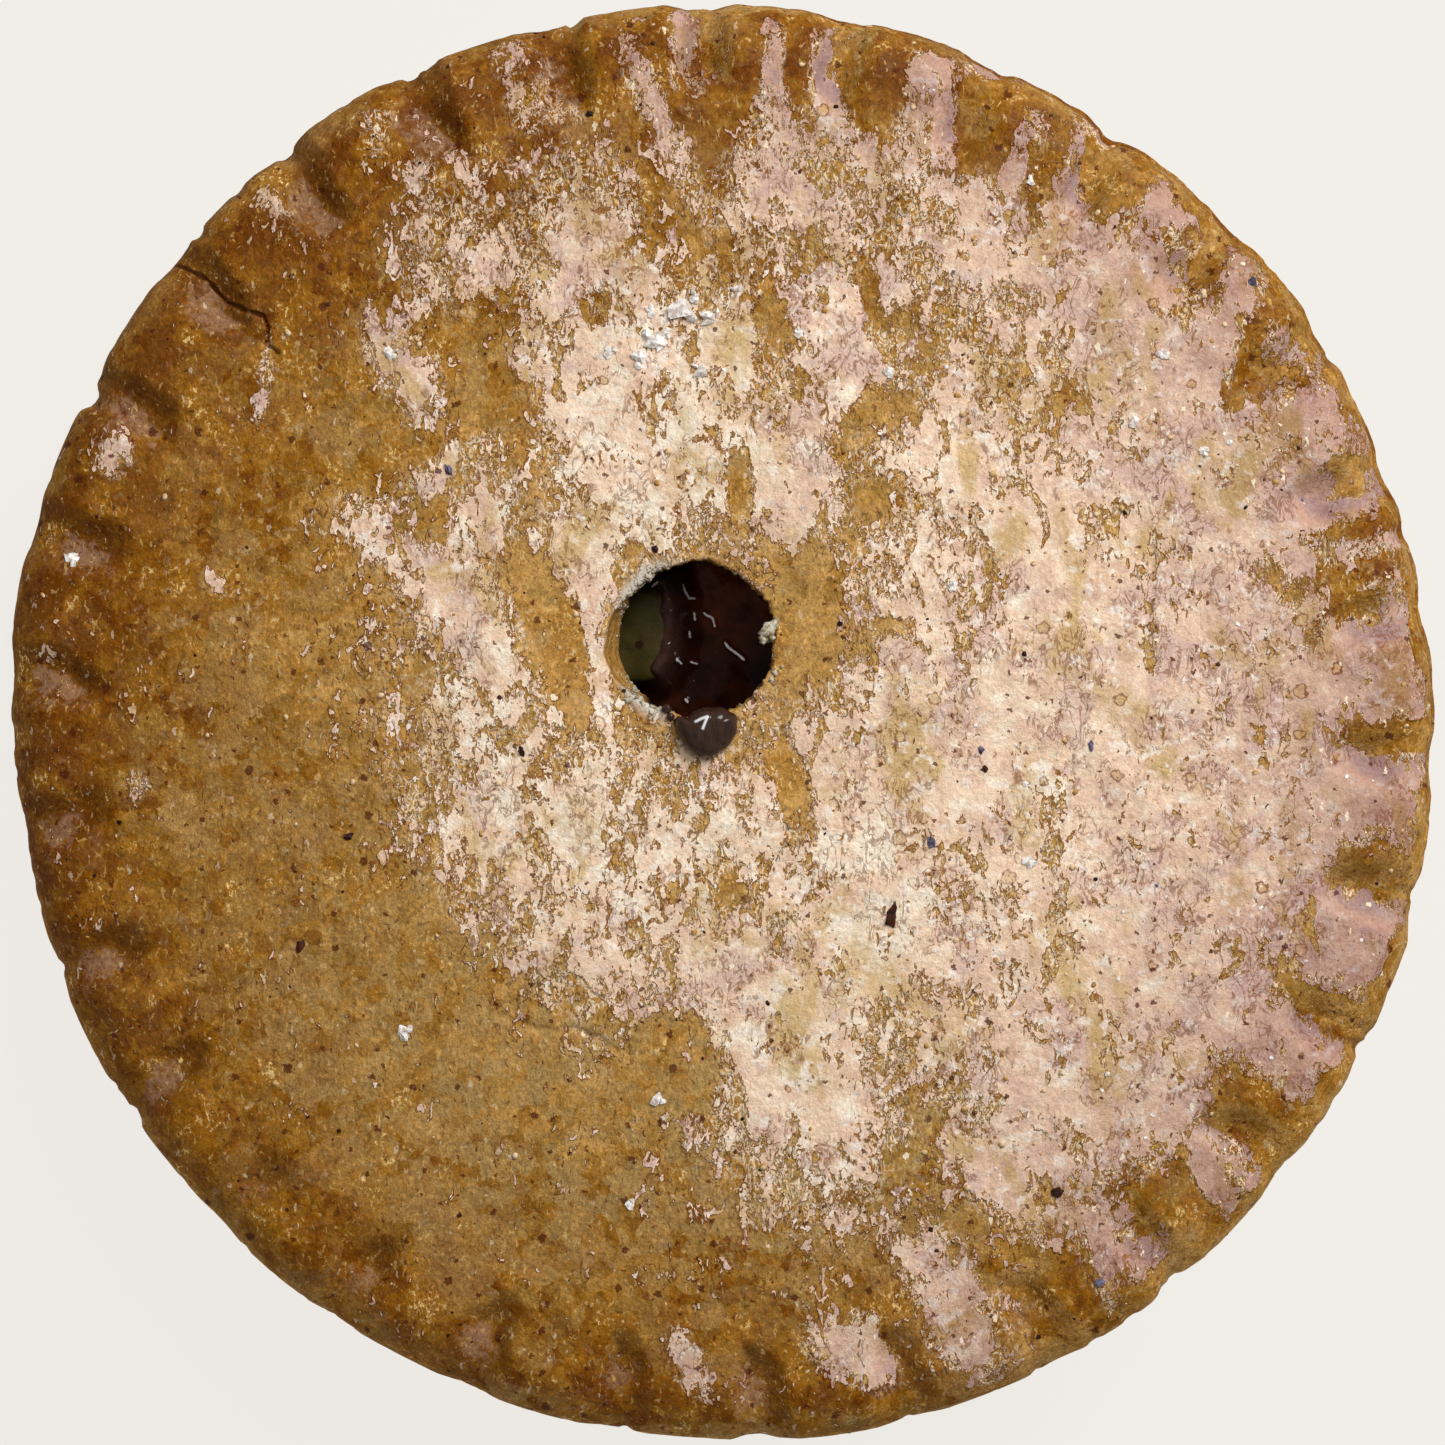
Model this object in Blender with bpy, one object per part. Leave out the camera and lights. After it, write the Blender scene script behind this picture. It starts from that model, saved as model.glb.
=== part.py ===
# Apple tart: a small closed fruit tart with a crimped edge and a steam hole in its lid.
# Metres, +Z up. The origin is the middle of the flat base, and +Y is the far side of the
# tart when it is looked at from above. Four solids: the pastry, which is lid and case baked
# into one, the fruit filling that shows through the steam hole, the piece of apple that lies
# on it there, and a drop of filling on the lid.

import math

import bmesh
import bpy
from mathutils import Vector, noise

MM = 0.001
TURN = 2 * math.pi

# The tart seen from above
RIM_RADIUS = 37.4 * MM
OVAL = 0.34 * MM  # how much longer and shorter than round
OVAL_ANGLE = math.radians(119)
EDGE_WOBBLE = 0.35 * MM  # unevenness of a cut and pinched edge
LIP_MOST = 0.3 * MM  # how far the case shows past the lid on its broad side
LIP_ANGLE = math.radians(30)

# The lid
LID_TOP = 28.0 * MM
CROWN_DROP = 1.5 * MM  # the lid is this much lower where its shoulder ends
CROWN_POWER = 2.4
LID_THICKNESS = 3.2 * MM
SHOULDER = 2.8 * MM  # reach of the rounding at the edge
SHOULDER_DROP = 2.6 * MM
RELIEF = 0.2 * MM  # soft dents and swellings of baked dough
RELIEF_SIZE = 6.5 * MM

# The crimps: radial dents pressed round the edge, deepest near their inner ends
CRIMP_COUNT = 30
CRIMP_FIRST = math.radians(8.6)
CRIMP_DRIFT = math.radians(0.75)
CRIMP_DRIFT_PHASE = math.radians(77)
CRIMP_LENGTH = 5.7 * MM
CRIMP_DEEPEST = 4.2 * MM  # inwards from the edge
CRIMP_DEPTH = 1.25 * MM
CRIMP_EDGE_SHARE = 0.4  # depth at the very edge, as a share of the deepest
CRIMP_HALF_WIDTH = 1.95 * MM  # at the edge, up to the ridges
CRIMP_FLOOR_SHARE = 0.45  # of the half width, nearly flat
CRIMP_NARROWING = 0.25  # share of its width that a crimp loses towards its inner end
CRIMP_SCALLOP = 0.25 * MM  # notch that a crimp leaves in the outline
CRIMP_WEAKEST_ANGLE = math.radians(240)
CRIMP_WEAKENING = 0.22

# The steam hole
VENT_CENTRE = Vector((-1.29 * MM, 4.29 * MM))
VENT_RADIUS = 4.1 * MM
VENT_UNEVENNESS = 0.12 * MM
VENT_FLARE = 1.1 * MM  # the wall leans outwards on one side
VENT_FLARE_ANGLE = math.radians(183)
VENT_FLARE_SPREAD = math.radians(55)
VENT_DIP = 0.5 * MM  # how far the lid sinks towards the hole
VENT_DIP_REACH = 3.4 * MM
VENT_ROUNDING = 0.45 * MM

# Below the rim: offsets out from the rim and down from the edge line, then the plain side
EDGE_PROFILE = ((-0.5, 0.45), (0.0, 1.0), (-0.05, 2.0), (-1.1, 3.1))
EDGE_HEIGHT = 23.7 * MM  # mean height of the edge line
SIDE_TOP_RADIUS = 34.6 * MM
SIDE_TOP_HEIGHT = 19.4 * MM
BASE_RADIUS = 27.6 * MM  # at the foot of the side, above the rounding
BASE_ROUNDING = 1.2 * MM
FLUTE_DEPTH = 0.35 * MM  # the crimps run on as faint flutes, and fade towards the foot

# Inside the case
CAVITY_TOP_RADIUS = 30.8 * MM
CAVITY_CORNER = 1.0 * MM
CAVITY_FOOT_RADIUS = 24.6 * MM
CAVITY_FLOOR = 3.6 * MM
CLEARANCE = 0.3 * MM  # between the pastry and what lies in it or on it
FILLING_DIP = 3.0 * MM  # hollow in the filling under the steam hole
FILLING_DIP_FLOOR = 7.2 * MM  # radius of its floor
FILLING_DIP_REACH = 10.5 * MM
FILLING_LUMPS = 0.3 * MM
FILLING_LUMP_SIZE = 3.0 * MM

# The piece of apple on the filling, half under the lid
APPLE_CENTRE = Vector((-5.1 * MM, 4.7 * MM))
APPLE_WIDTH = 4.6 * MM
APPLE_LENGTH = 5.2 * MM
APPLE_BOTTOM = 21.2 * MM
APPLE_HEIGHT = 1.75 * MM
APPLE_TURN = math.radians(-3)
APPLE_SQUARENESS = 4.0  # power of the superellipse that its outline follows

# The drop of filling on the near lip of the steam hole
DROP_CENTRE = Vector((-0.87 * MM, -0.45 * MM))
DROP_WIDTH = 3.3 * MM
DROP_LENGTH = 2.6 * MM
DROP_HEIGHT = 1.25 * MM

# Points round a ring. Rings with a share of these counts are joined by triangles.
CRIMP_COLUMNS = (-0.5, -0.245, -0.12, 0.0, 0.12, 0.245)  # places across one crimp's step
LID_COLUMNS = 90
VENT_COLUMNS = 60
CAVITY_COLUMNS = 60
DROP_COLUMNS = 20
APPLE_COLUMNS = 24


def smooth(low, high, value):
    t = min(1.0, max(0.0, (value - low) / (high - low)))
    return t * t * (3 - 2 * t)


def bumps(x, y, size, seed):
    """Smooth unevenness from about -1 to 1."""
    return noise.noise(Vector((x / size, y / size, seed)))


def crimp_angle(k):
    turn = TURN * k / CRIMP_COUNT
    return CRIMP_FIRST + turn + CRIMP_DRIFT * math.cos(turn + CRIMP_DRIFT_PHASE)


def crimp_strength(k):
    """The crimps were pressed by hand: firmer on one side of the tart than on the other."""
    angle = crimp_angle(k)
    weak = CRIMP_WEAKENING * (1 + math.cos(angle - CRIMP_WEAKEST_ANGLE))
    return 1.0 - weak + 0.2 * bumps(math.cos(angle), math.sin(angle), 0.2, 5.0)


def across_crimp(angle, inward):
    """How much of the nearest crimp's depth is felt at this angle: 1 on its line, 0 on the ridges."""
    step = TURN / CRIMP_COUNT
    k = round((angle - CRIMP_FIRST) / step)
    half_width = CRIMP_HALF_WIDTH * (1 - CRIMP_NARROWING * smooth(0, CRIMP_LENGTH, inward))
    beside = abs(angle - crimp_angle(k)) * (RIM_RADIUS - inward)
    return crimp_strength(k) * (1 - smooth(CRIMP_FLOOR_SHARE * half_width, half_width, beside))


def crimp_depth(angle, inward):
    if inward > CRIMP_LENGTH:
        return 0.0
    along = CRIMP_EDGE_SHARE + (1 - CRIMP_EDGE_SHARE) * smooth(0, CRIMP_DEEPEST, inward)
    along *= 1 - smooth(CRIMP_DEEPEST, CRIMP_LENGTH, inward)
    return CRIMP_DEPTH * along * across_crimp(angle, inward)


def rim_radius(angle):
    """Outline of the lid seen from above."""
    oval = OVAL * math.cos(2 * (angle - OVAL_ANGLE))
    wobble = EDGE_WOBBLE * bumps(math.cos(angle), math.sin(angle), 0.35, 1.0)
    return RIM_RADIUS + oval + wobble - CRIMP_SCALLOP * across_crimp(angle, 0.0)


def crown_height(x, y):
    """The lid without its shoulder, crimps and relief."""
    from_vent = (Vector((x, y)) - VENT_CENTRE).length - VENT_RADIUS
    dip = VENT_DIP * math.exp(-((max(0.0, from_vent) / VENT_DIP_REACH) ** 2))
    return LID_TOP - CROWN_DROP * (math.hypot(x, y) / RIM_RADIUS) ** CROWN_POWER - dip


def lid_height(x, y):
    angle = math.atan2(y, x)
    inward = max(0.0, rim_radius(angle) - math.hypot(x, y))
    outwards = max(0.0, 1 - inward / SHOULDER)
    shoulder = SHOULDER_DROP * (1 - math.sqrt(1 - outwards**2))
    relief = RELIEF * (bumps(x, y, RELIEF_SIZE, 2.0) + 0.5 * bumps(x, y, RELIEF_SIZE / 2, 3.0))
    return crown_height(x, y) + relief - shoulder - crimp_depth(angle, inward)


def underside_height(x, y):
    return crown_height(x, y) - LID_THICKNESS


def side_radius(angle, height):
    share = height / SIDE_TOP_HEIGHT
    plain = BASE_RADIUS + (SIDE_TOP_RADIUS - BASE_RADIUS) * share
    oval = OVAL * math.cos(2 * (angle - OVAL_ANGLE))
    return plain + oval - FLUTE_DEPTH * share * across_crimp(angle, 0.0)


def vent_radius(angle):
    """The steam hole at its narrowest."""
    return VENT_RADIUS + VENT_UNEVENNESS * bumps(math.cos(angle), math.sin(angle), 0.3, 4.0)


def vent_mouth(angle):
    """The steam hole at the top of its wall."""
    aside = abs((angle - VENT_FLARE_ANGLE + math.pi) % TURN - math.pi)
    return vent_radius(angle) + VENT_FLARE * (1 - smooth(0, VENT_FLARE_SPREAD, aside))


def even_angles(columns):
    start = crimp_angle(0) - 0.5 * TURN / CRIMP_COUNT
    return [start + TURN * i / columns for i in range(columns)]


def crimp_angles():
    """Angles that lie closest together where the crimps bend."""
    step = TURN / CRIMP_COUNT
    return [crimp_angle(k) + place * step for k in range(CRIMP_COUNT) for place in CRIMP_COLUMNS]


def polar(radius, angle):
    return radius * math.cos(angle), radius * math.sin(angle)


def add_ring(bm, points):
    return [bm.verts.new(point) for point in points]


def join_rings(bm, first, second):
    """A band of triangles between two closed rings, which may have different counts."""
    i = j = 0
    while i < len(first) or j < len(second):
        a, b = first[i % len(first)], second[j % len(second)]
        if (i + 1) * len(second) <= (j + 1) * len(first):
            i += 1
            bm.faces.new((a, first[i % len(first)], b))
        else:
            j += 1
            bm.faces.new((a, second[j % len(second)], b))


def close_ring(bm, ring, centre):
    middle = bm.verts.new(centre)
    for i, vert in enumerate(ring):
        bm.faces.new((vert, ring[(i + 1) % len(ring)], middle))


def skin(bm, rings):
    """Joins each ring to the next, and returns the rings as vertices."""
    made = [add_ring(bm, ring) for ring in rings]
    for first, second in zip(made, made[1:]):
        join_rings(bm, first, second)
    return made


def between(reach, columns, inner_radius, outer_radius):
    """A ring part of the way from a circle round the steam hole to one round the tart."""
    points = []
    for angle in even_angles(columns):
        inner, outer = inner_radius(angle), outer_radius(angle)
        x, y = polar(inner + (outer - inner) * reach, angle)
        points.append((x + VENT_CENTRE.x * (1 - reach), y + VENT_CENTRE.y * (1 - reach)))
    return points


def raised(points, height):
    return [(x, y, height(x, y)) for x, y in points]


def base_and_side_rings():
    rings = []
    angles = crimp_angles()
    for height, inset in ((0.0, BASE_ROUNDING), (0.3 * BASE_ROUNDING, 0.3 * BASE_ROUNDING)):
        rings.append([(*polar(side_radius(a, height) - inset, a), height) for a in angles])
    side_steps = 4
    for i in range(side_steps):
        height = BASE_ROUNDING + (SIDE_TOP_HEIGHT - BASE_ROUNDING) * i / (side_steps - 1)
        rings.append([(*polar(side_radius(a, height), a), height) for a in angles])
    return rings


def edge_line(angle):
    """Height of the lid's outermost line."""
    return lid_height(*polar(rim_radius(angle), angle))


def edge_rings():
    """From the underside of the rim up to the seam between case and lid."""
    rings = []
    for out, down in reversed(EDGE_PROFILE):
        ring = []
        for angle in crimp_angles():
            share = down / EDGE_PROFILE[-1][1]
            top = edge_line(angle) * (1 - share) + EDGE_HEIGHT * share
            lip = LIP_MOST * max(0.0, math.cos(angle - LIP_ANGLE)) * smooth(0, 1, down)
            ring.append((*polar(rim_radius(angle) + out * MM + lip, angle), top - down * MM))
        rings.append(ring)
    return rings


def crimped_rings():
    """From the edge line inwards, over the shoulder and the crimps."""
    rings = []
    for inward in (0.0, 0.2, 0.65, 1.25, 2.0, 2.9, 3.8, 4.7, 5.2, 5.7):
        points = [polar(rim_radius(a) - inward * MM, a) for a in crimp_angles()]
        rings.append(raised(points, lid_height))
    return rings


def lid_rings():
    """From the inner ends of the crimps to the steam hole."""
    rings = []
    for reach in (1.0, 0.9, 0.78, 0.65, 0.52, 0.39, 0.27, 0.16, 0.07):
        points = between(
            reach,
            LID_COLUMNS,
            vent_mouth,
            lambda a: rim_radius(a) - CRIMP_LENGTH - 0.7 * MM,
        )
        rings.append(raised(points, lid_height))
    return rings


def vent_rings():
    """The rounded lip of the steam hole and its wall, down to the underside of the lid."""
    rings = []
    for out, share in ((1.0, 0.0), (0.3, 0.04), (0.0, 0.14), (0.0, 0.8), (1.0, 1.0)):
        ring = []
        for angle in even_angles(VENT_COLUMNS):
            flare = (vent_mouth(angle) - vent_radius(angle)) * (1 - smooth(0.14, 0.9, share))
            x, y = polar(vent_radius(angle) + flare + out * VENT_ROUNDING, angle)
            x, y = x + VENT_CENTRE.x, y + VENT_CENTRE.y
            ring.append((x, y, lid_height(x, y) * (1 - share) + underside_height(x, y) * share))
        rings.append(ring)
    return rings


def cavity_wall(gap):
    """Radius and height down the inside of the case, drawn in by a gap."""
    foot = CAVITY_FLOOR + gap
    return (
        (CAVITY_TOP_RADIUS - gap, SIDE_TOP_HEIGHT + 3.2 * MM - gap),
        (CAVITY_TOP_RADIUS - 0.4 * MM - gap, SIDE_TOP_HEIGHT),
        (CAVITY_FOOT_RADIUS + CAVITY_CORNER - gap, foot + CAVITY_CORNER),
        (CAVITY_FOOT_RADIUS - gap, foot),
    )


def cavity_rings():
    """The hollow that the filling lies in: under the lid, then down the wall to the floor."""
    rings = []
    outer = CAVITY_TOP_RADIUS - CAVITY_CORNER
    for reach in (0.2, 0.45, 0.72, 1.0):
        points = between(reach, CAVITY_COLUMNS, vent_radius, lambda a: outer)
        rings.append(raised(points, underside_height))
    for radius, height in cavity_wall(0.0):
        rings.append([(*polar(radius, a), height) for a in even_angles(CAVITY_COLUMNS)])
    return rings


def filling_top(x, y):
    """The filling fills the case to the lid, and sinks into a hollow under the steam hole."""
    from_vent = (Vector((x, y)) - VENT_CENTRE).length
    dip = FILLING_DIP * (1 - smooth(FILLING_DIP_FLOOR, FILLING_DIP_REACH, from_vent))
    lumps = FILLING_LUMPS * (bumps(x, y, FILLING_LUMP_SIZE, 7.0) - 1)
    return underside_height(x, y) - CLEARANCE - dip + lumps


def filling_rings():
    rings = []
    outer = CAVITY_TOP_RADIUS - CAVITY_CORNER - CLEARANCE
    for reach in (0.04, 0.08, 0.12, 0.17, 0.23, 0.32, 0.5, 0.75, 1.0):
        points = between(reach, CAVITY_COLUMNS, lambda a: 0.0, lambda a: outer)
        rings.append(raised(points, filling_top))
    for radius, height in cavity_wall(CLEARANCE * 1.15):
        rings.append([(*polar(radius, a), height) for a in even_angles(CAVITY_COLUMNS)])
    return rings


def power(value, exponent):
    return math.copysign(abs(value) ** exponent, value)


def apple_rings():
    """A block with soft corners, from its underside up."""
    rings = []
    turned_x = Vector((math.cos(APPLE_TURN), math.sin(APPLE_TURN)))
    turned_y = Vector((-turned_x.y, turned_x.x))
    for share, rise in ((0.82, 0.0), (0.97, 0.15), (1.0, 0.4), (0.98, 0.75), (0.9, 0.95), (0.6, 1.0)):
        ring = []
        for i in range(APPLE_COLUMNS):
            angle = TURN * i / APPLE_COLUMNS
            across = 0.5 * APPLE_WIDTH * power(math.cos(angle), 2 / APPLE_SQUARENESS)
            along = 0.5 * APPLE_LENGTH * power(math.sin(angle), 2 / APPLE_SQUARENESS)
            place = APPLE_CENTRE + share * (across * turned_x + along * turned_y)
            ring.append((*place, APPLE_BOTTOM + rise * APPLE_HEIGHT))
        rings.append(ring)
    return rings


def drop_outline(angle):
    """The drop from above: rounded towards the hole, with a blunt point away from it."""
    x = 0.5 * DROP_WIDTH * math.cos(angle) * (1 - 0.16 * max(0.0, -math.sin(angle)) ** 2)
    y = 0.5 * DROP_LENGTH * math.sin(angle)
    return x, y


def drop_rings():
    """Rings of the drop from its flat underside, which follows the lid, to its top."""
    rings = []
    for share, rise in ((0.86, 0.0), (1.0, 0.28), (0.94, 0.6), (0.7, 0.88), (0.34, 1.0)):
        ring = []
        for i in range(DROP_COLUMNS):
            x, y = drop_outline(TURN * i / DROP_COLUMNS)
            x, y = DROP_CENTRE.x + share * x, DROP_CENTRE.y + share * y
            ring.append((x, y, lid_height(x, y) + CLEARANCE + rise * DROP_HEIGHT))
        rings.append(ring)
    return rings


def material(name, colour, roughness, coat=0.0):
    made = bpy.data.materials.new(name)
    made.use_nodes = True
    shader = made.node_tree.nodes["Principled BSDF"]
    shader.inputs["Base Color"].default_value = (*colour, 1.0)
    shader.inputs["Roughness"].default_value = roughness
    shader.inputs["Metallic"].default_value = 0.0
    shader.inputs["Coat Weight"].default_value = coat
    return made


def finish(name, bm, surface):
    """Turns the skin into a smooth-shaded object with its faces pointing out."""
    bmesh.ops.recalc_face_normals(bm, faces=bm.faces)
    mesh = bpy.data.meshes.new(name)
    bm.to_mesh(mesh)
    bm.free()
    mesh.materials.append(surface)
    mesh.shade_smooth()
    mesh.set_sharp_from_angle(angle=math.radians(60))
    made = bpy.data.objects.new(name, mesh)
    bpy.context.scene.collection.objects.link(made)
    return made


def make_crust():
    bm = bmesh.new()
    rings = base_and_side_rings() + edge_rings() + crimped_rings()
    rings += lid_rings() + vent_rings() + cavity_rings()
    made = skin(bm, rings)
    close_ring(bm, made[0], (0.0, 0.0, 0.0))
    close_ring(bm, made[-1], (0.0, 0.0, CAVITY_FLOOR))
    return finish("crust", bm, material("baked_pastry", (0.42, 0.22, 0.07), 0.45, 0.3))


def make_filling():
    bm = bmesh.new()
    made = skin(bm, filling_rings())
    close_ring(bm, made[0], (*VENT_CENTRE, filling_top(*VENT_CENTRE)))
    close_ring(bm, made[-1], (0.0, 0.0, CAVITY_FLOOR + 1.15 * CLEARANCE))
    return finish("filling", bm, material("fruit_filling", (0.035, 0.012, 0.006), 0.12, 0.5))


def make_apple():
    bm = bmesh.new()
    made = skin(bm, apple_rings())
    close_ring(bm, made[0], (*APPLE_CENTRE, APPLE_BOTTOM))
    close_ring(bm, made[-1], (*APPLE_CENTRE, APPLE_BOTTOM + APPLE_HEIGHT))
    return finish("apple_piece", bm, material("cooked_apple", (0.07, 0.05, 0.012), 0.3, 0.3))


def make_drop():
    bm = bmesh.new()
    made = skin(bm, drop_rings())
    under = lid_height(*DROP_CENTRE) + CLEARANCE
    close_ring(bm, made[0], (*DROP_CENTRE, under))
    close_ring(bm, made[-1], (*DROP_CENTRE, under + DROP_HEIGHT))
    return finish("filling_drop", bm, material("filling_jelly", (0.09, 0.045, 0.03), 0.1, 0.5))


def clear_scene():
    for old in list(bpy.data.objects):
        bpy.data.objects.remove(old)


clear_scene()
make_crust()
make_filling()
make_apple()
make_drop()
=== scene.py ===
# Looks of a small closed apple tart, seen from straight above: glazed pastry with a crimped edge,
# and the filling that shows through its steam hole. Metres, +Z up, one frame with the solids.
import math
import bmesh
import bpy
import numpy as np
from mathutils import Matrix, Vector, noise


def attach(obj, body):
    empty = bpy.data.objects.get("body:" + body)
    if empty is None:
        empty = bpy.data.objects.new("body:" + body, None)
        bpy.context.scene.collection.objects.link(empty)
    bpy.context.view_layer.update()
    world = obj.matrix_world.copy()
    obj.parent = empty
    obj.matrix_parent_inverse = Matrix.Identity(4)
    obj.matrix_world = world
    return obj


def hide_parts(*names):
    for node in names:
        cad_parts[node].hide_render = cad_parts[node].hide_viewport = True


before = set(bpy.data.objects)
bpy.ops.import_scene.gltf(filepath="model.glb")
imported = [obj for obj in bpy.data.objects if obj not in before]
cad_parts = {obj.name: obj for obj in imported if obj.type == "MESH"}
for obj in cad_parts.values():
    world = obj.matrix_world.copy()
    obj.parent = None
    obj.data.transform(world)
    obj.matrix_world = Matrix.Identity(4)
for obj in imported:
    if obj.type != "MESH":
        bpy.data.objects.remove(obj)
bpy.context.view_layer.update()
mm = 0.001
fullTurn = 2 * math.pi


def smooth(low, high, value):
    t = min(1.0, max(0.0, (value - low) / (high - low)))
    return t * t * (3 - 2 * t)


def smoothAll(low, high, values):  # the same, for an array
    t = np.clip((values - low) / (high - low), 0, 1)
    return t * t * (3 - 2 * t)


def bumps(x, y, size, seed):  # smooth unevenness from about -1 to 1
    return noise.noise(Vector((x / size, y / size, seed)))


def polar(radius, angle):
    return radius * math.cos(angle), radius * math.sin(angle)


def turnsApart(first, second):  # angle between two directions, 0 to pi
    return abs((first - second + math.pi) % fullTurn - math.pi)


def bandFaces(firstStart, firstCount, secondStart, secondCount):  # between two rings of any counts
    faces = []
    i = j = 0
    while i < firstCount or j < secondCount:
        a, b = firstStart + i % firstCount, secondStart + j % secondCount
        if (i + 1) * secondCount <= (j + 1) * firstCount:
            i += 1
            faces.append((a, firstStart + i % firstCount, b))
        else:
            j += 1
            faces.append((a, secondStart + j % secondCount, b))
    return faces


def skinRings(name, rings, firstEnd, lastEnd):  # a closed mesh over rings, each end drawn to a point
    points, faces, starts = [], [], []
    for ring in rings:
        starts.append(len(points))
        points.extend(ring)
    for k in range(len(rings) - 1):
        faces += bandFaces(starts[k], len(rings[k]), starts[k + 1], len(rings[k + 1]))
    for end, k in ((firstEnd, 0), (lastEnd, -1)):
        points.append(end)
        count = len(rings[k])
        faces += [(starts[k] + i, starts[k] + (i + 1) % count, len(points) - 1) for i in range(count)]
    mesh = bpy.data.meshes.new(name)
    mesh.from_pydata(points, [], faces)
    return mesh


def placeMesh(name, mesh, material, isSmooth=True):
    bm = bmesh.new()
    bm.from_mesh(mesh)
    bmesh.ops.recalc_face_normals(bm, faces=bm.faces)
    bm.to_mesh(mesh)
    bm.free()
    mesh.materials.clear()
    mesh.materials.append(material)
    if isSmooth:
        mesh.shade_smooth()
    else:
        mesh.shade_flat()
    made = bpy.data.objects.new(name, mesh)
    bpy.context.scene.collection.objects.link(made)
    return made


def handOver(piece, replaced=None):  # tells the frame what a finished piece is
    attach(piece, "root")
    if replaced:
        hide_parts(replaced)
    print(piece.name, len(piece.data.polygons), "faces")


def srgb(red, green, blue):  # a screen colour from 0 to 255 as the linear colour that nodes take
    parts = [c / 255 for c in (red, green, blue)]
    return tuple(p / 12.92 if p <= 0.04045 else ((p + 0.055) / 1.055) ** 2.4 for p in parts) + (1.0,)


def startMaterial(name):
    material = bpy.data.materials.new(name)
    material.use_nodes = True
    return material, material.node_tree, material.node_tree.nodes["Principled BSDF"]


def addNode(kind, *values):  # to the node tree that the first socket among these values belongs to
    tree = next(value.id_data for value in values if isinstance(value, bpy.types.NodeSocket))
    return tree.nodes.new(kind)


def feed(socket, value):
    if isinstance(value, bpy.types.NodeSocket):
        socket.id_data.links.new(value, socket)
    else:
        socket.default_value = value


def calc(operation, first, second=0.0, third=0.0):
    node = addNode("ShaderNodeMath", first, second, third)
    node.operation = operation
    for socket, value in zip(node.inputs, (first, second, third)):
        feed(socket, value)
    return node.outputs[0]


def times(first, second):
    return calc("MULTIPLY", first, second)


def swayed(value, pattern, amount):  # moved up and down by a pattern from 0 to 1
    return calc("MULTIPLY_ADD", calc("SUBTRACT", pattern, 0.5), amount, value)


def blend(factor, first, second, mode="MIX"):
    node = addNode("ShaderNodeMix", factor, first, second)
    node.data_type = "RGBA"
    node.blend_type = mode
    for k, value in ((0, factor), (6, first), (7, second)):  # the colour sockets of this node are 6 and 7
        feed(node.inputs[k], value)
    return node.outputs[2]


def layered(colour, layers):  # lays colours over each other, each as thickly as its share says
    for over, share in layers:
        colour = blend(share, colour, over)
    return colour


def step(value, low, high, bottom=0.0, top=1.0):  # smooth rise while the value goes from low to high
    node = addNode("ShaderNodeMapRange", value)
    node.interpolation_type = "SMOOTHSTEP"
    names = ("Value", "From Min", "From Max", "To Min", "To Max")
    for name, given in zip(names, (value, low, high, bottom, top)):
        feed(node.inputs[name], given)
    return node.outputs["Result"]


def ramp(value, stops):  # stops are (place, colour)
    node = addNode("ShaderNodeValToRGB", value)
    while len(node.color_ramp.elements) < len(stops):
        node.color_ramp.elements.new(0.5)
    for element, (place, colour) in zip(node.color_ramp.elements, stops):
        element.position, element.color = place, colour
    feed(node.inputs[0], value)
    return node.outputs["Color"]


def greyOf(value):
    node = addNode("ShaderNodeCombineColor", value)
    for socket in node.inputs:
        feed(socket, value)
    return node.outputs[0]


def objectPlace(tree):
    return tree.nodes.new("ShaderNodeTexCoord").outputs["Object"]


def stretched(place, turned, stretch):  # patterns read from here are longer along the turned Y
    node = addNode("ShaderNodeMapping", place)
    node.inputs["Rotation"].default_value[2] = math.radians(turned)
    node.inputs["Scale"].default_value[1] = 1 / stretch
    feed(node.inputs["Vector"], place)
    return node.outputs["Vector"]


def grain(place, size, detail=3.0, rough=0.55, distortion=0.0, output="Fac"):
    node = addNode("ShaderNodeTexNoise", place)
    feed(node.inputs["Vector"], place)
    node.inputs["Scale"].default_value = 1 / size
    node.inputs["Detail"].default_value = detail
    node.inputs["Roughness"].default_value = rough
    node.inputs["Distortion"].default_value = distortion
    return node.outputs[output]


def warped(place, size, amount):  # bends straight borders
    node = addNode("ShaderNodeVectorMath", place)
    node.operation = "MULTIPLY_ADD"
    feed(node.inputs[0], grain(place, size, 2, 0.5, 0.0, "Color"))
    feed(node.inputs[1], (amount, amount, amount))
    feed(node.inputs[2], place)
    return node.outputs[0]


def cells(place, size, dimensions="3D"):  # distance from scattered points, and a random colour for each
    node = addNode("ShaderNodeTexVoronoi", place)
    node.voronoi_dimensions = dimensions
    feed(node.inputs["Vector"], place)
    node.inputs["Scale"].default_value = 1 / size
    return node.outputs["Distance"], node.outputs["Color"]


def channel(colour, k):
    node = addNode("ShaderNodeSeparateColor", colour)
    feed(node.inputs[0], colour)
    return node.outputs[k]


def painted(tree, name):
    node = tree.nodes.new("ShaderNodeAttribute")
    node.attribute_name = name
    return node.outputs["Fac"]


def surface(shader, colour, roughness, shine):
    feed(shader.inputs["Base Color"], colour)
    feed(shader.inputs["Roughness"], roughness)
    shader.inputs["Specular IOR Level"].default_value = shine


def relief(shader, height, depth):
    node = addNode("ShaderNodeBump", height)
    node.inputs["Distance"].default_value = depth
    feed(node.inputs["Height"], height)
    feed(shader.inputs["Normal"], node.outputs["Normal"])


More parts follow.
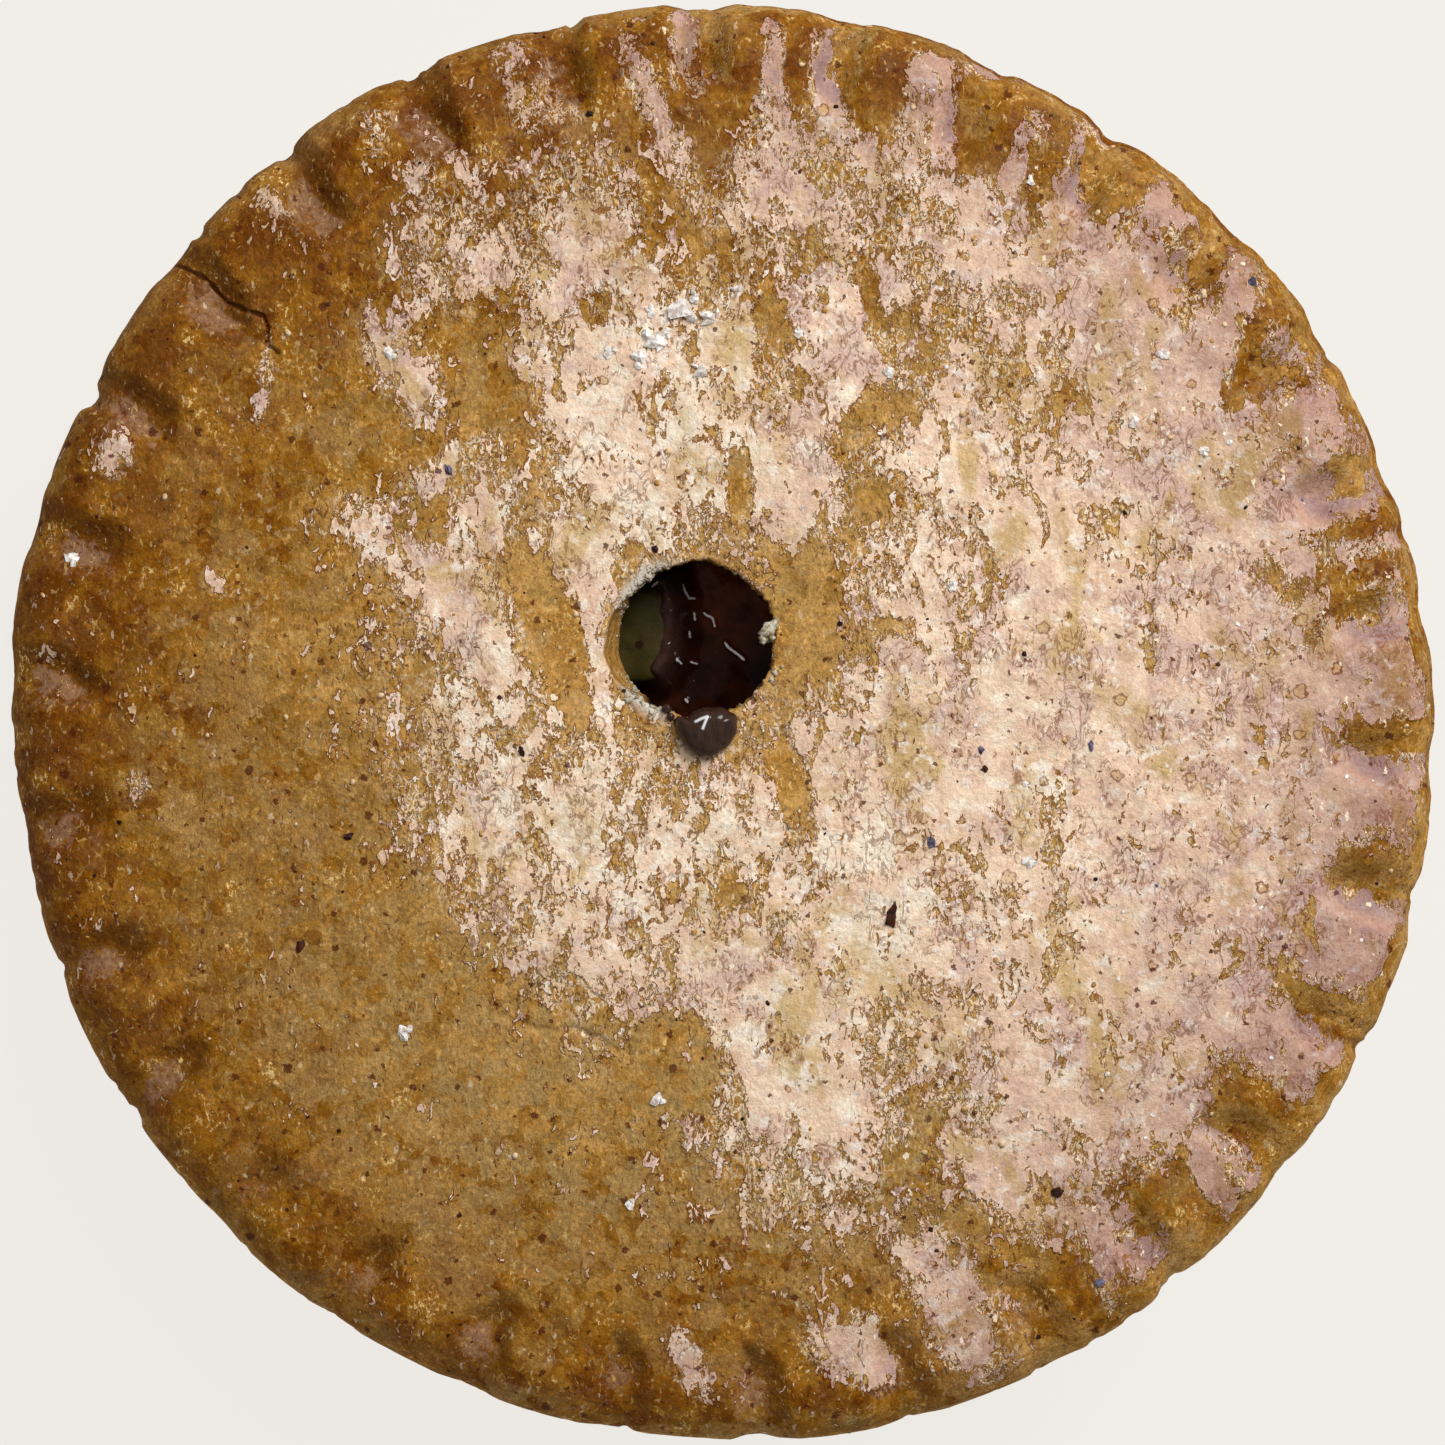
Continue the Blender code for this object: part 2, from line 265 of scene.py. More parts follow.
view = {
    "frameWidth": 75.6 * mm,  # what the picture takes in, at the height of the rim
    "rimHeight": 24.0 * mm,
    "distance": 400 * mm,
    "keyTurn": 48,  # degrees from +X: the light comes from the far right
    "keyRise": 44,
    "keyPower": 2.8,
    "keySize": 260 * mm,
    "topTurn": 70,  # a smaller light nearly overhead, which reaches into the steam hole
    "topRise": 71,
    "topPower": 0.6,
    "topSize": 90 * mm,
    "lightAway": 600 * mm,
    "lightColour": (1.0, 0.98, 0.96),
    "worldLight": 0.22,
    "floorGlow": 0.93,  # keeps the floor even and its shadows faint
    "floor": srgb(242, 239, 234),
}


def makeStudio():
    scene = bpy.context.scene
    lens = bpy.data.cameras.new("camera")
    lens.sensor_width = 36
    lens.lens = lens.sensor_width * view["distance"] / view["frameWidth"]
    lens.clip_start = 0.01
    camera = bpy.data.objects.new("camera", lens)
    camera.location = (0, 0, view["rimHeight"] + view["distance"])
    scene.collection.objects.link(camera)
    scene.camera = camera

    for name in ("key", "top"):
        lamp = bpy.data.lights.new(name + "Light", "AREA")
        lamp.energy, lamp.size, lamp.color = view[name + "Power"], view[name + "Size"], view["lightColour"]
        light = bpy.data.objects.new(name + "Light", lamp)
        rise = math.radians(view[name + "Rise"])
        flat = polar(view["lightAway"] * math.cos(rise), math.radians(view[name + "Turn"]))
        light.location = (*flat, view["lightAway"] * math.sin(rise))
        light.rotation_euler = light.location.to_track_quat("Z", "Y").to_euler()
        light.visible_glossy = name == "key"
        scene.collection.objects.link(light)
    world = bpy.data.worlds.new("softRoom")
    world.use_nodes = True
    sky = world.node_tree.nodes["Background"]
    sky.inputs["Color"].default_value = (1.0, 0.99, 0.97, 1.0)
    sky.inputs["Strength"].default_value = view["worldLight"]
    scene.world = world
    scene.view_settings.view_transform = "Standard"

    material, _, shader = startMaterial("paleFloor")
    shade = 1 - view["floorGlow"]
    shader.inputs["Base Color"].default_value = [c * shade for c in view["floor"][:3]] + [1.0]
    shader.inputs["Roughness"].default_value = 1.0
    shader.inputs["Specular IOR Level"].default_value = 0.0
    shader.inputs["Emission Color"].default_value = view["floor"]
    shader.inputs["Emission Strength"].default_value = view["floorGlow"]
    mesh = bpy.data.meshes.new("floor")
    reach = 6.0
    corners = [(-reach, -reach, 0), (reach, -reach, 0), (reach, reach, 0), (-reach, reach, 0)]
    mesh.from_pydata(corners, [], [(0, 1, 2, 3)])
    mesh.materials.append(material)
    floor = bpy.data.objects.new("floor", mesh)
    floor.visible_glossy = False
    scene.collection.objects.link(floor)
    print("studio ready")


pastry = {
    "rimRadius": 37.4 * mm,
    "oval": 0.34 * mm,
    "ovalAngle": math.radians(119),
    "edgeWobble": 0.35 * mm,
    "nicks": 0.2 * mm,
    "lipMost": 0.3 * mm,
    "lipAngle": math.radians(30),
    "lidTop": 28.0 * mm,
    "crownDrop": 1.5 * mm,
    "crownPower": 2.4,
    "lidThickness": 3.2 * mm,
    "shoulder": 2.8 * mm,
    "shoulderDrop": 2.6 * mm,
    "relief": 0.2 * mm,
    "reliefSize": 6.5 * mm,
    "edgeHeight": 23.7 * mm,
    "sideTopRadius": 34.6 * mm,
    "sideTopHeight": 19.4 * mm,
    "baseRadius": 27.6 * mm,
    "baseRounding": 1.2 * mm,
    "fluteDepth": 0.35 * mm,
    "lumps": 0.09 * mm,  # finer dents that the solids leave out
    "lumpSize": 1.9 * mm,
    "crumbDepth": 0.03 * mm,
    "crumbSize": 0.6 * mm,
}
crimp = {
    "count": 30,
    "first": math.radians(8.6),
    "drift": math.radians(0.75),
    "driftPhase": math.radians(77),
    "length": 5.7 * mm,
    "deepest": 3.4 * mm,
    "depth": 1.25 * mm,
    "edgeShare": 0.4,
    "halfWidth": 2.1 * mm,
    "floorShare": 0.12,
    "uneven": 0.45 * mm,  # wandering of the walls
    "narrowing": 0.25,
    "scallop": 0.25 * mm,
    "weakestAngle": math.radians(235),
    "weakening": 0.26,
}
vent = {
    "centre": Vector((-1.29 * mm, 4.29 * mm)),
    "radius": 4.1 * mm,
    "unevenness": 0.12 * mm,
    "ragged": 0.19 * mm,  # crumbly edge
    "dip": 0.5 * mm,
    "dipReach": 3.4 * mm,
    "rounding": 0.45 * mm,
    "flare": 0.8 * mm,
    "flareAngle": math.radians(188),
    "flareSpread": math.radians(60),
    "chalkyArcs": ((137, 24), (226, 22)),  # degrees: where its edge is pale and crumbly, and half how far
}
edgeProfile = ((-0.5, 0.45), (-0.2, 0.65), (0.0, 1.0), (0.03, 1.5), (-0.05, 2.0), (-0.45, 2.6), (-1.1, 3.1))
crackPath = [(-28.6, 23.9), (-27.9, 23.6), (-26.9, 23.1), (-25.8, 21.9), (-24.7, 21.4), (-23.8, 21.1),
             (-23.6, 20.5), (-23.7, 19.7), (-23.1, 19.2)]  # mm, a split in the far left of the rim
fissures = [  # mm: path, width, depth
    ([(22.2, 9.9), (22.3, 7.0), (22.0, 5.0), (22.4, 3.2)], 0.35, 0.12),
    ([(18.8, 1.2), (18.0, -1.5), (17.8, -4.0), (17.2, -6.0)], 0.5, 0.1),
    ([(-11.5, -15.2), (-9.5, -16.0), (-7.6, -15.9), (-6.2, -16.6)], 0.4, 0.14),
    ([(-20.0, -7.5), (-20.4, -10.5), (-20.2, -14.0)], 0.6, 0.08),
]
rimChips = [  # degrees, depth and half width in mm: small breaks in the outline
    (15.5, 0.25, 0.7), (56.5, 0.3, 0.8), (127.5, 0.3, 0.7), (137.0, 0.25, 0.6), (152.8, 0.4, 0.9),
    (272.5, 0.2, 1.4), (309.0, 0.25, 0.7), (333.0, 0.35, 0.6), (346.0, 0.2, 0.5),
]


def crimpAngle(k):
    turned = fullTurn * k / crimp["count"]
    return crimp["first"] + turned + crimp["drift"] * math.cos(turned + crimp["driftPhase"])


def crimpStrength(k):
    angle = crimpAngle(k)
    weak = crimp["weakening"] * (1 + math.cos(angle - crimp["weakestAngle"]))
    return 1.0 - weak + 0.2 * bumps(math.cos(angle), math.sin(angle), 0.2, 5.0)


def acrossCrimp(angle, inward):
    k = round((angle - crimp["first"]) / (fullTurn / crimp["count"]))
    halfWidth = crimp["halfWidth"] * (1 - crimp["narrowing"] * smooth(0, crimp["length"], inward))
    beside = (angle - crimpAngle(k)) * (pastry["rimRadius"] - inward)
    beside = abs(beside + crimp["uneven"] * bumps(inward, 9.0 * mm * k, 2.2 * mm, 8.0))
    return crimpStrength(k) * (1 - smooth(crimp["floorShare"] * halfWidth, halfWidth, beside))


def crimpDepth(angle, inward):
    inward += 0.9 * mm * bumps(math.cos(angle), math.sin(angle), 0.06, 15.0)  # no two are equally long
    if inward > crimp["length"]:
        return 0.0
    inward = max(0.0, inward)
    along = crimp["edgeShare"] + (1 - crimp["edgeShare"]) * smooth(0, crimp["deepest"], inward)
    along *= 1 - smooth(crimp["deepest"], crimp["length"], inward)
    return crimp["depth"] * along * acrossCrimp(angle, inward)


def rimRadius(angle):
    oval = pastry["oval"] * math.cos(2 * (angle - pastry["ovalAngle"]))
    wobble = pastry["edgeWobble"] * bumps(math.cos(angle), math.sin(angle), 0.35, 1.0)
    return pastry["rimRadius"] + oval + wobble - crimp["scallop"] * acrossCrimp(angle, 0.0)


def crownHeight(x, y):
    fromVent = (Vector((x, y)) - vent["centre"]).length - vent["radius"]
    dip = vent["dip"] * math.exp(-((max(0.0, fromVent) / vent["dipReach"]) ** 2))
    fall = pastry["crownDrop"] * (math.hypot(x, y) / pastry["rimRadius"]) ** pastry["crownPower"]
    return pastry["lidTop"] - fall - dip


def lidHeight(x, y):
    angle = math.atan2(y, x)
    inward = max(0.0, rimRadius(angle) - math.hypot(x, y))
    outwards = max(0.0, 1 - inward / pastry["shoulder"])
    shoulder = pastry["shoulderDrop"] * (1 - math.sqrt(1 - outwards**2))
    size = pastry["reliefSize"]
    dents = pastry["relief"] * (bumps(x, y, size, 2.0) + 0.5 * bumps(x, y, size / 2, 3.0))
    return crownHeight(x, y) + dents - shoulder - crimpDepth(angle, inward)


def undersideHeight(x, y):
    return crownHeight(x, y) - pastry["lidThickness"]


def fineRelief(x, y, z):  # lumps and crumb of baked dough
    lumps = noise.noise(Vector((x, y, z)) / pastry["lumpSize"])
    crumb = noise.noise(Vector((x, y, z)) / pastry["crumbSize"])
    return pastry["lumps"] * (lumps - 0.3) + pastry["crumbDepth"] * crumb


def onLid(x, y):
    return lidHeight(x, y) + fineRelief(x, y, 0)


def sideRadius(angle, height):
    share = height / pastry["sideTopHeight"]
    plain = pastry["baseRadius"] + (pastry["sideTopRadius"] - pastry["baseRadius"]) * share
    oval = pastry["oval"] * math.cos(2 * (angle - pastry["ovalAngle"]))
    return plain + oval - pastry["fluteDepth"] * share * acrossCrimp(angle, 0.0)


def ventRadius(angle):
    return vent["radius"] + vent["unevenness"] * bumps(math.cos(angle), math.sin(angle), 0.3, 4.0)


def ventMouth(angle):
    aside = turnsApart(angle, vent["flareAngle"])
    return ventRadius(angle) + vent["flare"] * (1 - smooth(0, vent["flareSpread"], aside))


def evenAngles(columns):
    start = crimpAngle(0) - 0.5 * fullTurn / crimp["count"]
    return [start + fullTurn * i / columns for i in range(columns)]


def between(reach, columns, innerRadius, outerRadius):  # a ring part of the way from the hole to the edge
    points = []
    for angle in evenAngles(columns):
        inner, outer = innerRadius(angle), outerRadius(angle)
        x, y = polar(inner + (outer - inner) * reach, angle)
        points.append((x + vent["centre"].x * (1 - reach), y + vent["centre"].y * (1 - reach)))
    return points


def rimChip(angle):  # how far the edge is broken back
    c, s = math.cos(angle), math.sin(angle)
    depth = smooth(0.15, 0.6, bumps(c, s, 0.03, 18.0)) + 0.3 * max(0.0, bumps(c, s, 0.012, 19.0))
    depth *= pastry["nicks"] * (0.5 + acrossCrimp(angle, 0.0))
    for degrees, deep, halfWidth in rimChips:
        aside = turnsApart(angle, math.radians(degrees)) * pastry["rimRadius"]
        depth = max(depth, deep * mm * (1 - smooth(0.2 * halfWidth * mm, halfWidth * mm, aside)))
    return depth


def baseAndSideRings():
    rings = []
    columns = 400
    for height, inset in ((0.0, 1.0), (0.1, 0.55), (0.3, 0.3), (0.6, 0.1)):
        height, inset = height * pastry["baseRounding"], inset * pastry["baseRounding"]
        rings.append([(*polar(sideRadius(a, height) - inset, a), height) for a in evenAngles(columns)])
    steps = 27
    for i in range(steps):
        height = pastry["baseRounding"] + (pastry["sideTopHeight"] - pastry["baseRounding"]) * i / (steps - 1)
        ring = []
        for angle in evenAngles(columns):
            x, y = polar(sideRadius(angle, height), angle)
            inset = 0.12 * mm - 1.2 * fineRelief(x, y, height)
            ring.append((*polar(sideRadius(angle, height) - inset, angle), height))
        rings.append(ring)
    return rings


def edgeRings(columns):  # from the underside of the rim up to the seam between case and lid
    rings = []
    lowest = edgeProfile[-1][1]
    for out, down in reversed(edgeProfile):
        ring = []
        for angle in evenAngles(columns):
            share = down / lowest
            radius = rimRadius(angle)
            x, y = polar(radius, angle)
            top = lidHeight(x, y) * (1 - share) + pastry["edgeHeight"] * share
            lip = pastry["lipMost"] * max(0.0, math.cos(angle - pastry["lipAngle"])) * smooth(0, 1, down)
            rough = fineRelief(x * 1.3, y * 1.3, down * mm) * 1.2 - 0.06 * mm
            radius += out * mm + lip + rough - 0.6 * rimChip(angle)
            ring.append((*polar(radius, angle), top - down * mm))
        rings.append(ring)
    return rings


def crimpedRings(columns, reach, steps):  # from the edge line inwards, over the shoulder and the crimps
    rings = []
    for i in range(steps):
        inward = reach * (i / (steps - 1)) ** 1.15
        ring = []
        for angle in evenAngles(columns):
            broken = rimChip(angle) * (1 - smooth(0, 1.4 * mm, inward))
            x, y = polar(rimRadius(angle) - inward, angle)
            shrink = 1 - (broken + 0.05 * mm * (1 - smooth(0, 0.5 * mm, inward))) / math.hypot(x, y)
            ring.append((x * shrink, y * shrink, onLid(x, y) - 0.5 * broken))
        rings.append(ring)
    return rings


def lidRings(reach, spacing):  # from the inner ends of the crimps to the steam hole
    rings = []
    outer = pastry["rimRadius"] - reach
    steps = round((outer - vent["radius"]) / spacing)
    for i in range(1, steps):
        share = 1 - i / steps
        around = fullTurn * (vent["radius"] + (outer - vent["radius"]) * share)
        points = between(share, max(300, round(around / spacing)), ventMouth, lambda a: rimRadius(a) - reach)
        rings.append([(x, y, onLid(x, y)) for x, y in points])
    return rings


def raggedEdge(angle, share):  # crumbs broken from the edge of the steam hole
    c, s = math.cos(angle), math.sin(angle)
    coarse = noise.noise(Vector((c / 0.13, s / 0.13, 2 * share)))
    fine = noise.noise(Vector((c / 0.05, s / 0.05, 5 * share)))
    return vent["ragged"] * (coarse + 0.7 * fine) - 0.05 * mm


def ventRings():
    rings = []
    columns = 360
    profile = [(0.55, 0.0), (0.3, 0.003), (0.12, 0.012), (0.03, 0.03)]
    profile += [(0.0, share) for share in (0.07, 0.13, 0.2, 0.28, 0.36, 0.45, 0.54, 0.62, 0.7, 0.8)]
    profile += [(0.4, 0.92), (1.0, 1.0)]
    for out, share in profile:
        ring = []
        for angle in evenAngles(columns):
            flare = (ventMouth(angle) - ventRadius(angle)) * (1 - smooth(0.14, 0.9, share))
            calm = 1 - 0.8 * (1 - smooth(0.3, 0.8, turnsApart(angle, vent["flareAngle"])))
            rough = raggedEdge(angle, share) * smooth(-0.04, 0.06, share) * calm
            x, y = polar(ventRadius(angle) + flare + rough + out * vent["rounding"], angle)
            x, y = x + vent["centre"].x, y + vent["centre"].y
            ring.append((x, y, onLid(x, y) * (1 - share) + undersideHeight(x, y) * share))
        rings.append(ring)
    return rings


def cavityRings():  # the hollow that the filling lies in
    rings = []
    columns = 90
    outer = 29.8 * mm
    for reach in (0.2, 0.45, 0.72, 1.0):
        points = between(reach, columns, ventRadius, lambda a: outer)
        rings.append([(x, y, undersideHeight(x, y)) for x, y in points])
    for radius, height in ((30.8, 22.6), (30.4, 19.4), (25.6, 4.6), (24.6, 3.6)):
        rings.append([(*polar(radius * mm, a), height * mm) for a in evenAngles(columns)])
    return rings


def nearPath(point, path):  # distance from a point to a path in millimetres, seen from above
    best = 1.0
    for start, end in zip(path, path[1:]):
        a, b = Vector(start) * mm, Vector(end) * mm
        share = max(0.0, min(1.0, (point - a).dot(b - a) / (b - a).length_squared))
        best = min(best, (point - a - (b - a) * share).length)
    return best


def cutCracks(mesh):  # splits the faces along the crack and the fissures finely, then presses them in
    bm = bmesh.new()
    bm.from_mesh(mesh)
    paths = [(crackPath, 0.2 * mm, 0.3 * mm)] + [(path, w * mm, d * mm) for path, w, d in fissures]
    for path, width, depth in paths:
        lowX, highX = min(x for x, y in path) * mm - mm, max(x for x, y in path) * mm + mm
        lowY, highY = min(y for x, y in path) * mm - mm, max(y for x, y in path) * mm + mm

        def inside(co):
            return lowX < co.x < highX and lowY < co.y < highY and co.z > pastry["edgeHeight"]

        for span in (0.8 * mm, 0.45 * mm):
            near = [e for e in bm.edges if inside(e.verts[0].co)
                    and nearPath(e.verts[0].co.xy, path) < span and e.calc_length() > 0.08 * mm]
            bmesh.ops.subdivide_edges(bm, edges=near, cuts=1)
        for vert in bm.verts:
            if inside(vert.co):
                wander = 0.12 * mm * noise.noise(vert.co / (0.6 * mm))
                away = nearPath(vert.co.xy, path) + wander
                vert.co.z -= depth * (1 - smooth(0.25 * width, 0.75 * width, away))
    bmesh.ops.triangulate(bm, faces=[f for f in bm.faces if len(f.verts) > 3])
    bm.to_mesh(mesh)
    bm.free()


# patches of the pale glaze together with a painted sheen: the light's reflection painted in as pale colour
glazeSheenPatches = [  # mm: place, half width, half length, degrees that its length is turned from +Y, strength
    (20.0, -1.5, 13.5, 17.5, 0, 1.0),  # the broad pale side
    (19.0, 20.0, 6.5, 7.0, -40, 0.56),
    (11.0, 26.5, 7.0, 4.6, -25, 0.3),
    (3.0, 28.0, 4.0, 5.0, 0, 0.36),
    (4.0, 20.0, 5.0, 6.0, 0, 0.22),
    (-6.6, 20.5, 2.8, 6.8, 0, 0.7),
    (-2.5, 14.5, 5.2, 4.6, 0, 0.56),
    (-0.8, 20.8, 2.6, 2.2, 0, 0.4),
    (-5.8, 10.0, 3.6, 3.0, 35, 0.35),
    (3.8, 12.5, 1.6, 4.6, 12, 0.56),
    (6.0, 19.0, 1.4, 4.0, 0, 0.5),
    (9.4, 16.5, 2.6, 4.6, 0, 0.14),
    (-16.6, 18.6, 1.4, 3.0, 30, 0.7),
    (-14.0, 24.0, 3.0, 2.6, -45, 0.4),
    (-12.3, 11.0, 1.5, 2.4, 0, 0.75),
    (-14.6, 13.0, 0.9, 3.4, -55, 0.38),
    (-17.2, 9.2, 1.1, 3.2, 48, 0.68),
    (-13.0, 5.2, 2.0, 3.8, 38, 0.8),
    (-6.5, 3.6, 0.5, 3.6, 6, 1.5),
    (-7.6, 8.6, 1.6, 2.0, 30, 0.55),
    (-11.0, -2.5, 4.4, 5.4, 40, 0.47),
    (-3.5, -5.5, 5.5, 4.5, 0, 0.4),
    (-0.6, -6.6, 2.6, 2.8, 0, 0.25),
    (-11.5, -9.0, 3.0, 7.0, 45, 0.2),  # thin scatter past the edges
    (-2.0, -17.0, 4.5, 7.0, 45, 0.22),
    (4.0, -24.0, 4.0, 5.0, 50, 0.22),
    (-17.5, 3.0, 2.0, 5.0, 0, 0.15),
    (-13.5, -6.0, 2.6, 5.0, 25, 0.14),
    (-10.0, 26.5, 5.0, 4.5, -40, 0.22),
    (-5.0, -11.0, 3.6, 6.0, 40, 0.33),
    (2.8, -17.0, 2.2, 6.0, 28, 0.68),
    (6.5, -8.0, 3.5, 8.0, 0, 0.38),
    (7.4, -18.0, 1.0, 4.2, 25, 0.45),
    (12.0, -14.0, 4.0, 5.0, 0, 0.34),
    (19.5, -18.0, 8.0, 4.4, -8, 0.48),
    (16.2, -24.2, 1.9, 4.0, 55, 0.7),
    (12.0, -30.5, 1.5, 4.6, 25, 0.8),
    (7.0, -32.5, 1.5, 2.4, 70, 0.95),
    (-1.8, -33.2, 0.8, 1.8, 25, 0.7),
    (20.0, -28.6, 0.8, 2.0, 10, 0.6),
    (22.0, -27.4, 0.8, 1.3, 70, 0.6),
    (25.6, -24.4, 0.8, 2.4, 25, 0.8),
    (29.0, -17.6, 0.9, 4.0, 42, 0.6),
    (33.2, -11.6, 1.5, 3.0, 30, 0.65),
    (33.8, -3.2, 1.9, 2.2, 0, 0.6),
    (33.2, 2.2, 2.0, 1.1, 0, 0.6),
    (34.2, 6.0, 1.2, 1.4, 0, 0.5),
    (31.8, 12.0, 2.4, 1.0, -8, 0.5),
    (30.4, 18.0, 1.8, 1.6, 0, 0.5),
    (26.6, 24.0, 0.8, 2.6, 18, 0.5),
    (22.8, 27.4, 0.6, 1.8, 0, 0.9),
    (19.2, 28.9, 0.45, 2.2, -25, 0.9),
    (10.8, 34.4, 1.1, 2.6, -10, 0.6),
    (5.6, 34.6, 0.5, 2.6, -8, 0.7),
    (14.0, 33.6, 1.0, 1.6, -60, 0.45),
    (2.7, 34.6, 0.7, 3.0, 0, 0.45),
    (-1.8, 36.0, 0.8, 1.1, 0, 0.6),
    (-3.6, 32.0, 0.8, 4.2, 24, 0.6),
    (-11.2, 34.6, 0.8, 1.2, 0, 0.45),
    (-10.4, 32.0, 0.7, 1.2, 30, 0.4),
    (-18.0, 31.2, 0.7, 1.6, 0, 0.4),
    (-15.8, 28.3, 0.8, 0.8, 0, 0.45),
    (-23.5, 27.0, 0.5, 2.2, 40, 0.45),
    (-31.6, 14.0, 0.9, 1.1, 0, 0.75),
    (-23.8, 17.6, 0.3, 1.7, -8, 1.0),
    (-26.2, 7.1, 0.3, 0.6, 30, 0.6),
    (-30.4, -3.2, 0.5, 0.7, 0, 0.6),
]
barePatches = [  # the same, where the brown crust shows through
    (4.7, 5.8, 1.8, 3.8, 0, 0.56),  # smooth gold beside the steam hole
    (-8.5, 4.2, 1.1, 3.6, 16, 1.0),
    (0.8, 12.6, 0.6, 1.4, 0, 0.6),
    (8.0, 15.4, 1.0, 2.4, -65, 0.3),
    (8.3, 11.4, 1.3, 1.3, 0, 0.4),
    (7.0, 23.5, 0.9, 2.6, 20, 0.3),
    (2.5, 21.5, 0.8, 3.0, 12, 0.3),
    (-6.8, 21.5, 0.8, 0.9, 0, 0.6),
    (15.0, 20.5, 2.6, 2.8, 0, 0.3),
    (18.8, 17.2, 1.4, 0.9, 0, 0.35),
    (22.0, 5.8, 0.4, 3.0, 6, 0.45),
    (17.4, -9.0, 0.8, 4.4, 8, 0.3),
    (0.4, -8.5, 0.8, 1.0, 0, 0.6),
    (3.6, -3.4, 0.9, 2.0, 20, 0.7),
    (-2.5, -17.4, 1.9, 2.2, 0, 0.9),
    (10.8, -17.2, 3.0, 4.5, 30, 0.36),
    (12.5, 6.0, 3.0, 3.4, 0, 0.2),
    (13.4, -9.0, 2.6, 3.6, 20, 0.28),
    (17.0, 13.5, 3.4, 4.6, 0, 0.16),
    (2.4, 16.6, 1.0, 2.0, 20, 0.25),
    (28.0, 8.0, 1.2, 0.8, 0, 0.5),
    (32.4, 7.6, 1.0, 2.8, -75, 0.6),
    (33.6, -7.6, 1.3, 2.6, -80, 0.8),
    (31.0, -14.6, 0.8, 3.6, 52, 0.7),
    (33.4, 10.5, 0.8, 3.2, -72, 0.7),
    (28.8, 17.6, 0.9, 2.8, -77, 0.8),
    (27.5, 19.6, 0.6, 2.6, -24, 0.7),
    (31.7, 5.2, 0.9, 1.5, -40, 0.7),
    (34.8, -0.6, 0.8, 2.6, -90, 0.7),
    (27.4, -20.1, 1.8, 3.0, 42, 0.8),
    (24.6, -25.8, 1.3, 2.6, 40, 0.8),
    (17.6, -30.2, 1.2, 2.4, 30, 0.8),
    (8.3, 34.4, 1.1, 3.0, -10, 0.7),
    (0.4, 34.2, 1.1, 3.0, 0, 0.7),
    (3.9, 34.6, 0.5, 2.0, 0, 0.5),
    (13.7, 30.7, 1.0, 2.6, -38, 0.8),
    (17.0, 28.2, 0.9, 2.6, -20, 0.5),
    (20.7, 28.0, 1.2, 2.4, -45, 0.9),
    (24.7, 27.2, 0.8, 2.4, 47, 0.8),
    (24.8, 23.0, 0.9, 2.6, -45, 0.7),
    (22.5, 24.9, 1.1, 1.1, 0, 0.45),
    (29.9, 21.2, 0.8, 1.8, 35, 0.6),
]
creamPatches = [  # where the glaze and its painted sheen are palest, and a little yellow
    (-4.5, 13.0, 5.5, 4.0, 30, 1.0),
    (-1.8, 19.8, 3.4, 2.2, 0, 0.9),
    (-10.5, -2.0, 4.5, 6.0, 40, 0.8),
    (-3.5, -6.5, 5.5, 4.0, 0, 0.8),
    (7.2, -9.2, 3.0, 6.0, 8, 1.1),
    (3.4, -18.0, 2.4, 5.0, 30, 0.5),
    (10.5, 12.0, 4.5, 4.0, 0, 0.4),
    (16.0, -4.0, 6.0, 8.0, 0, 0.3),
]
toastPatches = [  # where the crust is browner or fairer than its surroundings
    (-19.5, -7.5, 4.5, 6.5, 0, 0.16),
    (-11.5, -10.5, 3.5, 5.0, 45, -0.12),
]
toast = {
    "goldRadius": 13 * mm,  # the crust is golden within this, and browns from here to the rim
    "darkTurn": math.radians(160),  # the side that is darkest: browned most, with painted shade on it away from the light
    "fairTurn": math.radians(285),  # the side that stayed palest
    "sideShare": 0.3,
    "wander": 0.16,
    "wanderSize": 7 * mm,
    "fleckShare": 0.026,  # pale flecks lie even where there is no patch
    "fullest": 0.8,
    "rimCover": 0.5,
}


def patchField(x, y, patches):  # soft ellipses added up over arrays of places
    total = np.zeros_like(x)
    for centreX, centreY, halfWidth, halfLength, turned, strength in patches:
        c, s = math.cos(math.radians(turned)), math.sin(math.radians(turned))
        dx, dy = x / mm - centreX, y / mm - centreY
        across, along = (dx * c + dy * s) / halfWidth, (dy * c - dx * s) / halfLength
        total += strength * np.exp(-((across**2 + along**2) ** 1.5) * 0.7)
    return total


def crimpFacing(x, y):  # slope of a crimp's wall, positive where it faces the light
    apart = 0.15 * mm
    radius = rimRadius(math.atan2(y, x))

    def deep(a, b):
        return crimpDepth(math.atan2(b, a), max(0.0, radius - math.hypot(a, b)))

    here = deep(x, y)
    light = math.radians(view["keyTurn"])
    rise = (deep(x + apart, y) - here) * math.cos(light) + (deep(x, y + apart) - here) * math.sin(light)
    return rise / apart


def slowNoise(x, y, size, seed):  # over arrays of places
    return np.array([noise.noise(Vector((a, b, seed)) / size) for a, b in zip(x, y)])


def rimLayers(x, y, angle, inward, isTop):  # how the crimps slope and how deep they are, and the crack
    facing, pressed, crack = np.zeros((3, len(x)))
    for i in np.nonzero((isTop > 0) & (inward < 6.2 * mm))[0]:
        facing[i] = crimpFacing(x[i], y[i])
        pressed[i] = crimpDepth(angle[i], max(0.0, inward[i])) / crimp["depth"]
        if x[i] < -22 * mm and y[i] > 18 * mm:
            crack[i] = 1 - smooth(0.03 * mm, 0.14 * mm, nearPath(Vector((x[i], y[i])), crackPath))
    return facing, pressed, crack


